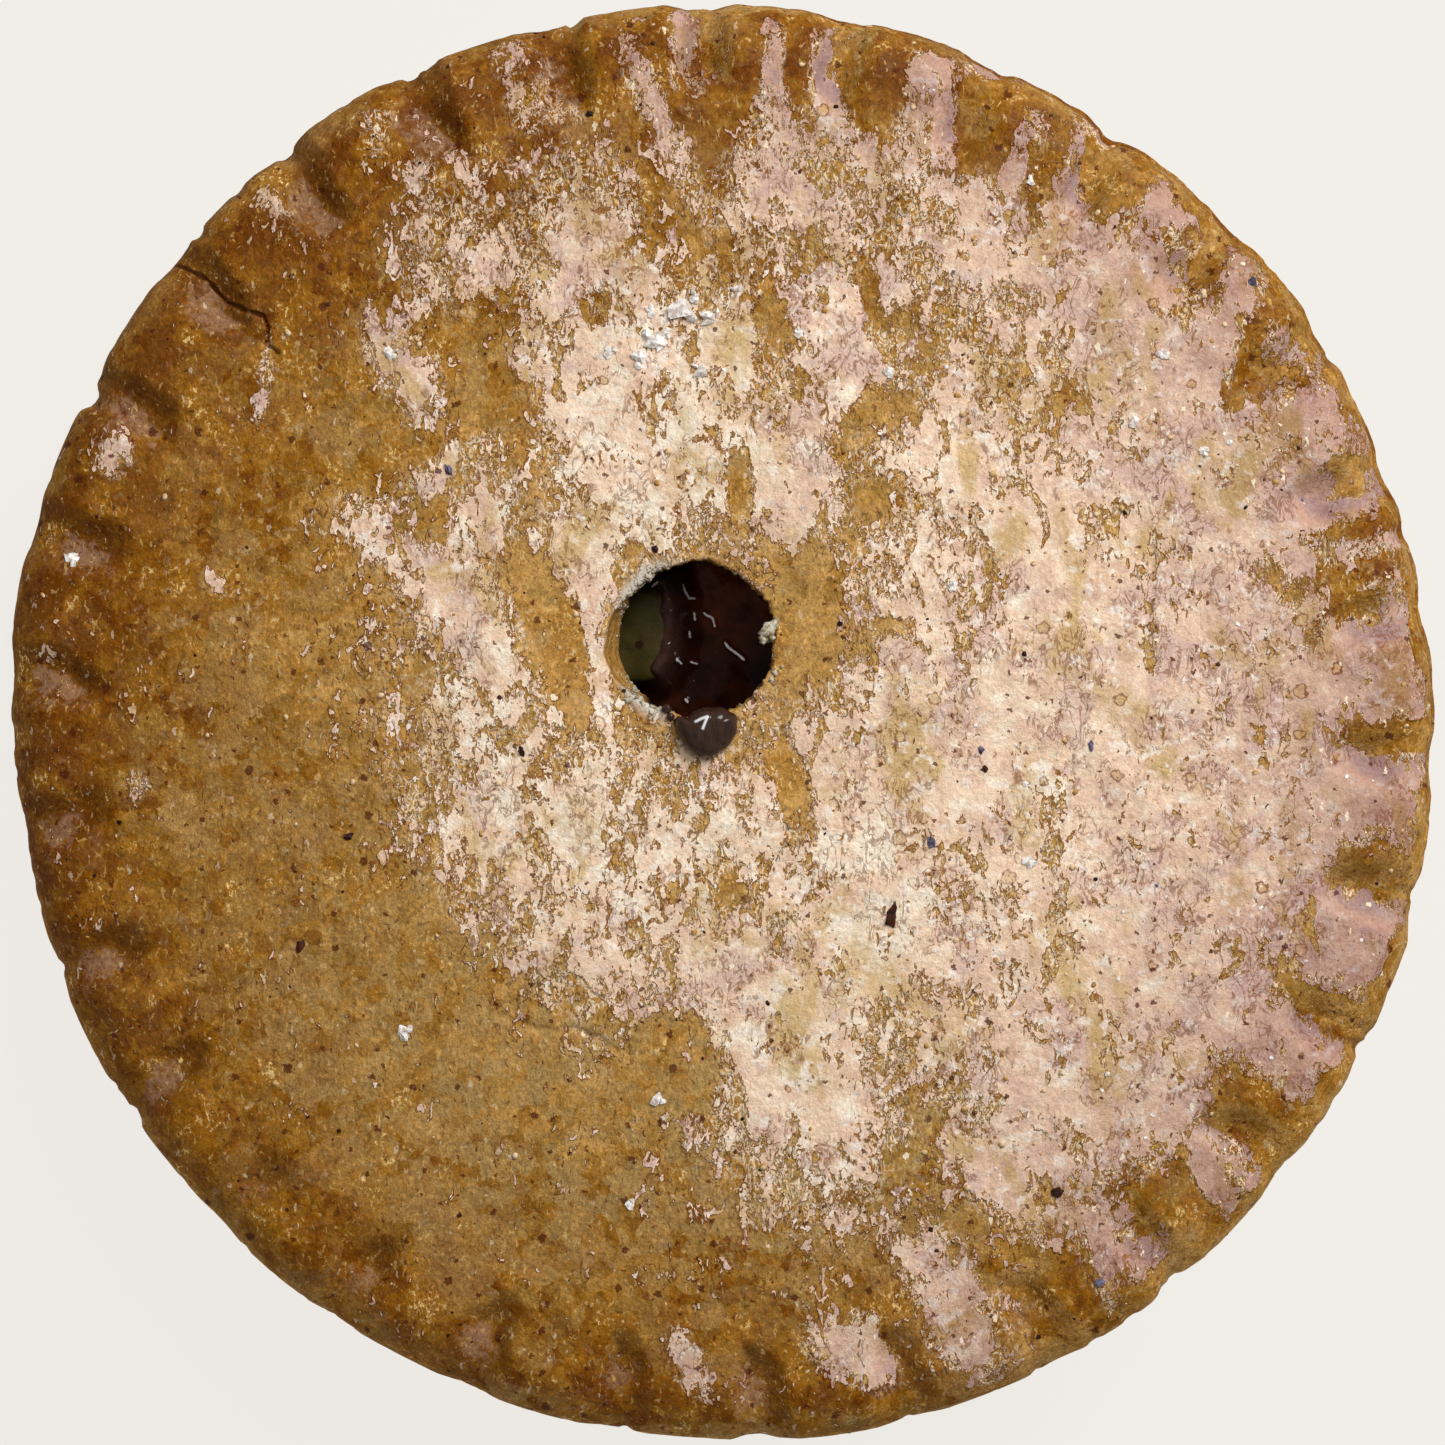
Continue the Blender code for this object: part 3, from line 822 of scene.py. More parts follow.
def ventWall(x, y, z, aside, ahead):  # rises down the wall of the steam hole, where it leads into painted shade; its slanting lip stays golden
    wall = np.zeros(len(x))
    for i in np.nonzero((z > 23 * mm) & (np.hypot(aside, ahead) < 6.5 * mm))[0]:
        below = lidHeight(x[i], y[i]) - z[i]
        plain, gold = smooth(0.1 * mm, 2.4 * mm, below), 0.12 * smooth(0.5 * mm, 0.8 * mm, below)
        away = turnsApart(math.atan2(ahead[i], aside[i]), vent["flareAngle"])
        wall[i] = plain + (1 - smooth(0.55, 0.85, away)) * (gold - plain)
    return wall


# how thickly the pale glaze and its painted sheen lie: more towards the light side and on crimp walls facing
# the key light, less on walls turned from it
def glazeSheenCover(x, y, radius, inward, lightSide, lit, shaded):
    ragged = slowNoise(x, y, 2.2 * mm, 30.0)
    cover = np.minimum(patchField(x, y, glazeSheenPatches), toast["fullest"])
    rimFilm = smoothAll(25 * mm, 29 * mm, radius) * smoothAll(0.7, 0.95, lightSide)
    rimFilm *= 1 - 0.3 * smoothAll(30.5 * mm, 34 * mm, radius)
    cover += toast["rimCover"] * rimFilm * (1 - cover) - patchField(x, y, barePatches)
    flecked = 0.4 + 0.6 * smoothAll(0.05, 0.4, lightSide) + 0.5 * smoothAll(28 * mm, 20 * mm, radius)
    cover += toast["fleckShare"] * flecked
    cover += 0.3 * lit * smoothAll(0.3, 0.7, lightSide) - shaded * (0.6 + 1.2 * ragged)
    return cover - 0.8 * smoothAll(1.0 * mm, 0.2 * mm, inward + 1.2 * mm * ragged)


def browningAndShade(x, y, radius, angle, inward, isTop, shaded, darkSide):
    wander = slowNoise(x, y, toast["wanderSize"], 11.0)
    ring = np.clip((radius - toast["goldRadius"]) / (pastry["rimRadius"] - toast["goldRadius"]), 0, 1)
    # one side is darker: browned, and painted shade away from the key light
    side = 0.5 + 0.5 * np.cos(angle - toast["darkTurn"])
    brownedAndShaded = ring * (1 - toast["sideShare"] + toast["sideShare"] * side)
    brownedAndShaded += toast["wander"] * wander * (0.4 + ring) + patchField(x, y, toastPatches)
    brownedAndShaded -= 0.31 * smoothAll(2.0 * mm, 0.2 * mm, inward) * isTop
    # on the light side, crimp walls turned from the key light are painted fairer, painted light against their
    # shade; the very edge there is fairer too
    brownedAndShaded -= (0.35 * shaded + 0.3 * smoothAll(0.4 * mm, -0.2 * mm, inward)) * (1 - darkSide)
    return np.clip(brownedAndShaded, 0, 1)


paintedLayers = []


def paintCrust(mesh):  # writes what the crust's material and the strewn pieces follow
    places = np.empty(len(mesh.vertices) * 3)
    mesh.vertices.foreach_get("co", places)
    x, y, z = places.reshape(-1, 3).T
    radius, angle = np.hypot(x, y), np.arctan2(y, x)
    inward = pastry["rimRadius"] - radius
    isTop = np.clip((z - 23.0 * mm) / (1.0 * mm), 0, 1)
    lightSide = 0.5 + 0.5 * np.cos(angle - math.radians(20))
    darkSide = smoothAll(0.75, 0.4, lightSide)
    facing, pressed, crack = rimLayers(x, y, angle, inward, isTop)
    lit, shaded = smoothAll(0.05, 0.4, facing), smoothAll(0.03, 0.3, -facing)
    # the pale glaze with its painted sheen, kept to the top
    glazeSheen = glazeSheenCover(x, y, radius, inward, lightSide, lit, shaded)
    glazeSheen = np.clip(glazeSheen, 0, 1) * isTop - 0.5 * (1 - isTop)
    # painted sheen in the crimps on the dark side: their floors, and walls that face the key light
    floorOfCrimp = smoothAll(0.15, 0.6, pressed) * (1 - shaded)
    mauveSheen = np.clip(floorOfCrimp + 0.5 * lit, 0, 1) * darkSide * smoothAll(0.5 * mm, 2.4 * mm, inward)
    # the glaze's painted sheen darkens and takes a lavender tint towards the rim, more on the light side
    outer = 0.75 * smoothAll(18 * mm, 40 * mm, radius) + 0.35 * smoothAll(29 * mm, 34 * mm, radius)
    fair = smoothAll(6 * mm, 14 * mm, radius) * smoothAll(33 * mm, 24 * mm, radius)

    aside, ahead = x - vent["centre"].x, y - vent["centre"].y
    wall = ventWall(x, y, z, aside, ahead)
    fromVent = np.hypot(aside, ahead) - vent["radius"]
    ventTurn = np.degrees(np.arctan2(ahead, aside)) % 360
    chalky = sum(np.exp(-(((ventTurn - turn) / half) ** 4)) for turn, half in vent["chalkyArcs"])
    chalky *= smoothAll(0.85 * mm, 0.2 * mm, fromVent) * smoothAll(0.35, 0.05, wall)
    ventEdge = smoothAll(0.5 * mm, 0.1 * mm, fromVent) * smoothAll(0.3, 0.02, wall) * isTop
    layers = {
        "glazeSheen": glazeSheen,
        "brownedAndShaded": browningAndShade(x, y, radius, angle, inward, isTop, shaded, darkSide),
        "shaded": shaded * darkSide,
        "mauveSheen": mauveSheen,
        # painted sheen, lilac, in the crimp floors on the light side
        "lilac": smoothAll(0.2, 0.6, pressed) * (1 - shaded) * (1 - darkSide),
        "outer": np.minimum(outer * (0.4 + 0.6 * smoothAll(0.3, 0.7, lightSide)), 1.0),
        "fair": fair * np.clip(0.5 + 0.9 * np.cos(angle - toast["fairTurn"]), 0, 1),
        "cream": np.clip(patchField(x, y, creamPatches), 0, 1),
        "shiny": smoothAll(0.3 * mm, 1.6 * mm, inward) * isTop,
        "crack": crack,
        "wall": wall,
        "chalky": chalky,
        "lid": smoothAll(19 * mm, 22 * mm, z),
        "sideEnds": 0.3 * smoothAll(3 * mm, 0.3 * mm, z) + 0.35 * smoothAll(14 * mm, 20 * mm, z),
        "ventEdge": ventEdge * (0.03 + 0.97 * chalky),
        "crumbly": isTop * (0.08 + 0.92 * smoothAll(0.1, 0.5, glazeSheen) * smoothAll(0.95, 0.6, glazeSheen)),
        "sugary": np.maximum(glazeSheen, 0) ** 2,
        "top": isTop,
    }
    for name, values in layers.items():
        paintedLayers.append(name)
        layer = mesh.attributes.new(name, "FLOAT", "POINT")
        layer.data.foreach_set("value", values.astype(np.float32))


crustLook = {
    "bake": [(0.0, srgb(202, 155, 86)), (0.3, srgb(174, 126, 54)), (0.55, srgb(144, 94, 14)),
             (0.8, srgb(123, 70, 2)), (1.0, srgb(109, 57, 0))],
    "olive": srgb(150, 116, 58),
    "tan": srgb(184, 144, 88),
    "amber": srgb(166, 110, 22),
    "fair": srgb(172, 140, 86),
    "milky": srgb(196, 172, 128),
    "mauveSheen": srgb(152, 116, 88),
    "shaded": srgb(104, 60, 12),
    "crack": srgb(104, 56, 24),
    "wall": srgb(156, 110, 46),
    "wallPale": srgb(198, 154, 88),
    # painted shade deep in the steam hole
    "wallDeepShade": srgb(40, 18, 6),
    "chalky": srgb(218, 212, 200),
    "side": [(0.0, srgb(222, 182, 118)), (0.4, srgb(204, 154, 84)), (0.7, srgb(176, 118, 52)),
             (1.0, srgb(134, 78, 26))],
    "speck": srgb(84, 34, 10),
    "lightFleck": srgb(216, 182, 118),
    "darkFleck": srgb(104, 62, 20),
    # painted gold glints
    "goldGlintLine": srgb(236, 202, 134),
    "glint": srgb(255, 238, 210),
}
# looks of the pale glaze and its painted sheen, the reflected light painted in as colour
glazeSheenLook = {
    "streakTurn": 22,  # degrees
    "streak": 1.7,  # how much longer than wide the patches are
    "patchSize": 1.7 * mm,
    "fleckSize": 0.5 * mm,
    "grainSize": 0.28 * mm,
    "spread": 0.5,  # how far the cover moves the level that the patches are cut at
    "tones": [(0.0, srgb(186, 148, 138)), (0.2, srgb(211, 174, 156)), (0.4, srgb(227, 192, 169)),
              (0.6, srgb(239, 205, 178)), (0.8, srgb(247, 217, 188)), (1.0, srgb(254, 239, 217))],
    "white": srgb(252, 240, 226),
    # painted highlight along the glaze's inner edge; the cream hair-lines take this colour too
    "borderHighlight": srgb(248, 228, 204),
    "thin": srgb(200, 158, 92),
    "smudge": srgb(188, 146, 116),
    "honey": srgb(206, 172, 108),
    "rosy": srgb(216, 184, 176),
    # painted sheen in the crimp floors on the light side
    "lilac": srgb(184, 164, 168),
    "outer": srgb(204, 188, 190),  # darkens and reddens it towards the rim, a lavender tint of the painted reflection
    "outline": srgb(126, 70, 24),
}


def crustColour(tree, place, middle):  # baked dough in soft patches, browner towards the rim and darker on one side, where painted shade is added
    bent = warped(place, 0.8 * mm, 0.9 * mm)
    patchwork, larger = cells(bent, 0.8 * mm)[1], cells(bent, 2.0 * mm)[1]
    brownedAndShaded = painted(tree, "brownedAndShaded")
    uneven = swayed(brownedAndShaded, middle, 1.1)
    uneven = swayed(uneven, grain(place, 4.0 * mm, 3, 0.6), 0.5)
    uneven = swayed(uneven, channel(patchwork, 0), 0.36)
    young = step(brownedAndShaded, 0.5, 0.85, 1.0, 0.12)
    fair = step(channel(patchwork, 2), 0.3, 0.9, 0.05, 0.75)
    milky = step(grain(place, 0.75 * mm, 4, 0.65), 0.59, 0.7, 0.0, 0.5)
    return layered(ramp(uneven, crustLook["bake"]), [
        (crustLook["olive"], times(step(channel(patchwork, 1), 0.4, 1.0, 0.0, 0.6), young)),
        (crustLook["tan"], times(step(channel(larger, 1), 0.35, 0.9, 0.0, 0.42), young)),
        (crustLook["amber"], step(grain(place, 2.4 * mm, 3, 0.6), 0.5, 0.62, 0.0, 0.55)),
        (crustLook["fair"], times(painted(tree, "fair"), fair)),
        (crustLook["milky"], times(milky, young)),
    ])


def sideColour(tree, place, middle):  # paler dough that baked against its tin, browner at both ends
    cloudy = swayed(0.42, grain(place, 7 * mm, 4, 0.6), 1.6)
    cloudy = calc("ADD", swayed(cloudy, middle, 0.7), painted(tree, "sideEnds"))
    return ramp(cloudy, crustLook["side"])


def glazeSheenFilm(cover, streaky, restless):  # pale dried glaze with a painted sheen, the light's reflection painted in as colour: smooth patches here, fine flecks there
    wide = grain(streaky, glazeSheenLook["patchSize"], 3, 0.5, 0.9)
    small = grain(streaky, glazeSheenLook["fleckSize"], 2, 0.5, 1.2)
    tiny = grain(streaky, glazeSheenLook["grainSize"], 2, 0.6, 1.5)
    flecked = times(step(restless, 0.38, 0.6, 0.3, 1.4), step(cover, 0.2, 0.5, 1.2, 0.8))
    partly = times(step(cover, 0.06, 0.3, 0.1, 1.0), step(cover, 0.75, 0.5, 0.3, 0.75))
    partly = times(partly, step(restless, 0.4, 0.55, 0.4, 1.2))
    mixed = swayed(swayed(wide, small, flecked), tiny, partly)
    spread = glazeSheenLook["spread"]
    level = calc("MULTIPLY_ADD", cover, -spread, 0.5 + 0.5 * spread)
    over = calc("SUBTRACT", mixed, calc("ADD", level, step(cover, 0.0, 0.07, 0.15, 0.0)))
    film = step(over, -0.003, 0.008)
    outline = step(over, calc("MULTIPLY_ADD", flecked, -0.06, -0.045), -0.006)
    thin = times(step(cover, 0.35, 0.75, 0.0, 0.7), step(over, -0.3, -0.06, 0.3, 1.0))
    return {
        "film": film,
        "outline": calc("SUBTRACT", outline, film),  # brown, just outside the film
        "borderHighlight": times(film, step(over, 0.01, 0.035, 1.0, 0.0)),  # a painted highlight, just inside it
        "thin": thin,  # a golden haze between the patches
        "thickness": step(over, -0.13, -0.03),
    }


# colour of the pale glaze with its painted sheen
def glazeSheenColour(tree, place, restless, borderHighlight):
    cream = painted(tree, "cream")
    patchwork = cells(warped(place, 0.5 * mm, 0.8 * mm), 0.9 * mm)[1]
    tone = calc("MULTIPLY_ADD", channel(patchwork, 0), 0.3, 0.51)
    tone = calc("MULTIPLY_ADD", cream, 0.26, tone)
    tone = swayed(tone, grain(place, 1.6 * mm, 4, 0.6), 1.4)
    rosy = calc("MULTIPLY_ADD", cream, 0.2, grain(place, 2.4 * mm, 3, 0.6, 0.4))
    honey = grain(stretched(place, glazeSheenLook["streakTurn"], 1.6), 3.4 * mm, 4, 0.6, 0.5)
    mottled = step(restless, 0.4, 0.52, 0.25, 1.0)
    blob = step(grain(place, 0.7 * mm, 2, 0.5), 0.55, 0.66, 0.0, 0.8)
    smudge = step(grain(place, 0.5 * mm, 3, 0.6, 0.5), 0.46, 0.36, 0.0, 0.36)
    colour = layered(ramp(tone, glazeSheenLook["tones"]), [
        (glazeSheenLook["rosy"], step(rosy, 0.53, 0.4, 0.0, 0.6)),
        (glazeSheenLook["honey"], step(honey, 0.5, 0.66, 0.0, 0.8)),
        (glazeSheenLook["white"], times(blob, mottled)),
        (glazeSheenLook["smudge"], times(smudge, mottled)),
        # painted sheen, lilac, in the crimp floors
        (glazeSheenLook["lilac"], times(painted(tree, "lilac"), 0.6)),
    ])
    colour = blend(painted(tree, "outer"), colour, glazeSheenLook["outer"], "MULTIPLY")
    return blend(times(borderHighlight, 0.55), colour, glazeSheenLook["borderHighlight"])


def hairLines(place, size, half):  # 1 along the winding lines where a noise passes its middle
    aside = calc("SUBTRACT", grain(place, size, 3, 0.6, 0.8), 0.5)
    return step(calc("ABSOLUTE", aside), 0.4 * half, half, 1.0, 0.0)


def specks(place, size, radius, share):  # 1 inside small uneven dots, only a share of them there
    distance, tint = cells(warped(place, 0.22 * mm, 0.5 * mm), size, "2D")
    uneven = calc("MULTIPLY_ADD", channel(tint, 1), 1.2 * radius, 0.4 * radius)
    inside = step(calc("SUBTRACT", uneven, distance), -0.01, 0.02)
    return times(inside, step(channel(tint, 0), 1 - share, 1.001 - share))


def beads(place, size, radius, share):  # the brown outlines and pale insides of small dried drops
    distance, tint = cells(warped(place, 0.3 * mm, 0.5 * mm), size, "2D")
    here = step(channel(tint, 0), 1 - share, 1.001 - share)
    reach = calc("MULTIPLY_ADD", channel(tint, 1), radius, 0.5 * radius)
    inwards = calc("SUBTRACT", reach, distance)
    within = times(here, step(inwards, 0.02, 0.05))
    return calc("SUBTRACT", times(here, step(inwards, -0.03, 0.0)), within), within


def bareColour(tree, place, streaky, middle):  # the crust without its glaze and painted sheen, with painted sheen and painted shade in the crimps, and short flecks
    crust = crustColour(tree, place, middle)
    colour = blend(painted(tree, "lid"), sideColour(tree, place, middle), crust)
    hazy = swayed(painted(tree, "mauveSheen"), grain(place, 0.6 * mm, 5, 0.7, 0.6), 4.2)
    short = grain(streaky, 0.3 * mm, 2, 0.6, 0.8)
    return layered(colour, [
        # painted sheen in the crimps, then painted shade on crimp walls turned from the key light
        (crustLook["mauveSheen"], step(hazy, 0.25, 1.1, 0.0, 0.75)),
        (crustLook["shaded"], times(painted(tree, "shaded"), 0.5)),
        (crustLook["lightFleck"], step(short, 0.62, 0.67, 0.0, 0.42)),
        (crustLook["darkFleck"], step(short, 0.38, 0.32, 0.0, 0.55)),
    ])


def wallColour(place):  # of the steam hole's wall, with a fine upright grain
    upright = grain(stretched(place, 3, 6.0), 0.22 * mm, 3, 0.6)
    return blend(step(upright, 0.3, 0.75), crustLook["wall"], crustLook["wallPale"])


def pastryMaterial():
    material, tree, shader = startMaterial("glazedPastry")
    place = objectPlace(tree)
    streaky = stretched(place, glazeSheenLook["streakTurn"], glazeSheenLook["streak"])
    top, cover, wall = painted(tree, "top"), painted(tree, "glazeSheen"), painted(tree, "wall")
    restless = grain(place, 3.0 * mm, 2, 0.5)  # high where the glaze and its painted sheen are broken up, low in smooth lobes
    middle = grain(place, 1.1 * mm, 5, 0.62, 0.3)
    fine = grain(place, 0.26 * mm, 3, 0.7)
    finer = grain(streaky, 0.15 * mm, 1, 0.5, 1.0)
    glazeSheen = glazeSheenFilm(cover, streaky, restless)

    # hair-fine lines: painted gold glints where the crust is bare, brown in the glaze and its painted sheen
    line = hairLines(streaky, 0.6 * mm, 0.045)
    cluster = grain(place, 2.4 * mm, 3, 0.65)
    goldGlintLine = times(line, step(cluster, 0.58, 0.66, 0.0, 0.8))
    goldGlintLine = times(goldGlintLine, step(fine, 0.46, 0.54))
    creamLine = hairLines(streaky, 0.42 * mm, 0.05)
    creamLine = times(creamLine, step(cover, 0.12, 0.4, 0.0, 0.75))
    brownLine = times(line, step(cluster, 0.51, 0.44, 0.0, 0.6))
    pale = glazeSheenColour(tree, place, restless, glazeSheen["borderHighlight"])
    ringed, within = beads(place, 1.9 * mm, 0.13, 0.13)
    colour = layered(bareColour(tree, place, streaky, middle), [
        (glazeSheenLook["thin"], times(glazeSheen["thin"], top)),
        (crustLook["goldGlintLine"], times(goldGlintLine, top)),
        (glazeSheenLook["borderHighlight"], times(creamLine, step(cluster, 0.42, 0.52))),
        (glazeSheenLook["outline"], times(glazeSheen["outline"], 0.9)),
        # the pale glaze with its painted sheen, laid over the crust
        (blend(brownLine, pale, glazeSheenLook["outline"]), glazeSheen["film"]),
        (glazeSheenLook["thin"], times(within, times(cover, 0.6))),
        (glazeSheenLook["outline"], times(ringed, times(cover, 0.9))),
    ])

    # the grit of the dough, half as strong in the glaze and its painted sheen, then painted glints, specks,
    # crumbs and the wall of the steam hole, with painted shade deep in it
    grit = times(step(fine, 0.3, 0.7, 0.85, 1.15), step(finer, 0.3, 0.7, 0.82, 1.2))
    gritty = blend(1.0, colour, greyOf(grit), "MULTIPLY")
    glints = specks(streaky, 0.7 * mm, 0.09, 0.18)
    larger = times(specks(place, 2.2 * mm, 0.07, 0.45), step(cover, 0.5, 0.15))
    dots = calc("MAXIMUM", specks(place, 0.95 * mm, 0.09, 0.24), larger)
    colour = layered(colour, [
        (gritty, calc("MULTIPLY_ADD", glazeSheen["film"], -0.5, 1.0)),
        (crustLook["glint"], times(glints, step(cover, -0.2, 0.3, 0.0, 0.9))),
        (crustLook["speck"], times(dots, times(top, 0.85))),
        (crustLook["chalky"], times(painted(tree, "chalky"), step(fine, 0.3, 0.5, 0.45, 1.0))),
        (wallColour(place), step(wall, 0.02, 0.12)),
        # painted shade deep in the steam hole
        (crustLook["wallDeepShade"], step(wall, 0.1, 0.8)),
        (crustLook["crack"], painted(tree, "crack")),
    ])
    dull = calc("MULTIPLY_ADD", painted(tree, "shiny"), -0.35, 0.8)
    surface(shader, colour, calc("MULTIPLY_ADD", glazeSheen["film"], -0.1, dull), 0.12)
    height = calc("MULTIPLY_ADD", glazeSheen["thickness"], 0.4, times(fine, 0.6))
    relief(shader, calc("ADD", middle, height), 0.14 * mm)
    return material


def makeCrust():
    columns, steps, spacing = 1200, 31, 0.34 * mm
    reach = 7.2 * mm  # how far in from the edge the rings keep its shape
    cavityFloor = 3.6 * mm
    rings = baseAndSideRings() + edgeRings(columns) + crimpedRings(columns, reach, steps)
    rings += lidRings(reach, spacing) + ventRings() + cavityRings()
    mesh = skinRings("pastryCrust", rings, (0, 0, 0), (0, 0, cavityFloor))
    cutCracks(mesh)
    paintCrust(mesh)
    crust = placeMesh("pastryCrust", mesh, pastryMaterial())
    handOver(crust, "crust")
    return crust


filling = {
    "outer": 29.5 * mm,
    "underLid": 0.3 * mm,
    "dip": 3.0 * mm,  # hollow under the steam hole
    "dipFloor": 7.2 * mm,
    "dipReach": 10.5 * mm,
    "lumps": 0.3 * mm,
    "lumpSize": 3.0 * mm,
    "bank": 2.3 * mm,  # jelly heaped beside the apple
    "bankWidth": 1.9 * mm,
    "waves": 0.03 * mm,
    "waveSize": 0.9 * mm,
    "wrinkle": 0.11 * mm,
    "wrinkleWidth": 0.26 * mm,
    "dark": srgb(38, 17, 8),
    "red": srgb(62, 26, 12),
    # a lighter red where the lid shades the hollow: painted light over the fruit's own red
    "ruddyPaintedLight": srgb(136, 62, 30),
    "gleam": srgb(250, 250, 255),
    # grey-brown of the heaped clear jelly, partly a painted sheen
    "bankedSheen": srgb(66, 46, 40),
    "roughness": 0.12,
}
bankPath = [(-3.1, 7.4), (-2.85, 6.4), (-2.8, 5.0), (-3.0, 3.8), (-3.5, 2.9)]  # mm
bubbles = [(-2.92, 6.16, 0.36), (-2.92, 4.42, 0.27), (-2.3, 3.6, 0.2), (-1.6, 2.35, 0.18)]  # mm: x, y, radius; drawn only as painted highlight rings
wrinkles = [  # mm, small folds of the jelly that catch the light, with painted highlights along them
    [(-2.08, 7.25), (-1.95, 6.89), (-1.76, 6.53), (-1.47, 6.53)],
    [(-3.72, 7.11), (-3.43, 7.37)],
    [(-1.51, 5.77), (-1.45, 5.43)],
    [(-0.98, 5.77), (-0.81, 5.65), (-0.52, 5.5), (-0.40, 5.07)],
    [(0.14, 4.2), (0.35, 3.91), (0.79, 3.62), (1.15, 3.3)],
    [(-1.73, 4.78), (-1.71, 4.5)],
    [(-2.41, 3.33), (-2.19, 3.11)],
    [(-1.65, 3.18), (-1.36, 3.11)],
    [(-1.95, 1.22), (-1.85, 1.12)],
]
apple = {
    "centre": Vector((-5.1 * mm, 4.7 * mm)),
    "width": 4.6 * mm,
    "length": 5.2 * mm,
    "bottom": 21.2 * mm,
    "height": 1.75 * mm,
    "turn": math.radians(-3),
    "squareness": 4.0,
    "flesh": srgb(54, 48, 14),
    "flesh2": srgb(68, 58, 22),
    "pip": (-4.37, 4.08, 0.17),  # mm: a dark speck in it, and its radius
}
drop = {
    "centre": Vector((-0.87 * mm, -0.45 * mm)),
    "height": 1.3 * mm,
    "outline": [(6, 1.65), (27, 1.8), (40, 1.61), (82, 1.25), (117, 1.2), (143, 1.18), (154, 1.7),
                (173, 1.54), (205, 1.32), (249, 1.34), (276, 1.38), (309, 1.33), (338, 1.46)],  # degrees, mm
    "links": [(-2.9, 0.72, 0.5), (-2.7, 0.3, 0.42), (-2.35, 0.05, 0.4)],  # mm: place, size of jelly beside it
    "fold": [(-1.39, 0.05), (-1.10, 0.20), (-0.78, 0.31), (-0.90, 0.0), (-1.02, -0.31)],
    "foldHeight": 0.07 * mm,
    "brown": srgb(66, 47, 39),
    "dark": srgb(48, 32, 25),
}


def fillingTop(x, y):
    point = Vector((x, y))
    fromVent = (point - vent["centre"]).length
    dip = filling["dip"] * (1 - smooth(filling["dipFloor"], filling["dipReach"], fromVent))
    lumps = filling["lumps"] * (bumps(x, y, filling["lumpSize"], 7.0) - 1)
    top = undersideHeight(x, y) - filling["underLid"] - dip + lumps
    seen = 1 - smooth(5 * mm, 6.2 * mm, fromVent)
    if seen > 0:
        away = nearPath(point, bankPath) + 0.3 * mm * bumps(x, y, 1.2 * mm, 8.0)
        extra = filling["bank"] * (1 - smooth(0, filling["bankWidth"], away))
        extra += filling["waves"] * (bumps(x, y, filling["waveSize"], 9.0) - 0.3)
        fold = min(nearPath(point, path) for path in wrinkles)
        top += seen * (extra + filling["wrinkle"] * (1 - smooth(0, filling["wrinkleWidth"], fold)))
    return top


def fillingMaterial():
    material, tree, shader = startMaterial("darkFruitJelly")
    place = objectPlace(tree)
    reddish = step(grain(place, 1.6 * mm, 3, 0.6), 0.4, 0.62)
    ruddyPaintedLight = step(grain(place, 0.9 * mm, 3, 0.6), 0.35, 0.6, 0.45, 1.0)
    smudge = step(grain(place, 0.5 * mm, 3, 0.6), 0.35, 0.65, 0.5, 1.0)
    crest = calc("ADD", painted(tree, "foldGleam"), grain(place, 0.25 * mm, 2, 0.5))
    colour = layered(blend(reddish, filling["dark"], filling["red"]), [
        (filling["ruddyPaintedLight"], times(painted(tree, "ruddyPaintedLight"), ruddyPaintedLight)),
        # grey-brown of the heaped clear jelly, partly a painted sheen
        (filling["bankedSheen"], times(painted(tree, "bankedSheen"), smudge)),
        # painted highlights on the folds and bubble rims
        (filling["gleam"], times(step(crest, 1.0, 1.35), 0.9)),
    ])
    surface(shader, colour, filling["roughness"], 0.14)
    relief(shader, grain(place, 0.35 * mm, 2, 0.5), 0.02 * mm)
    return material


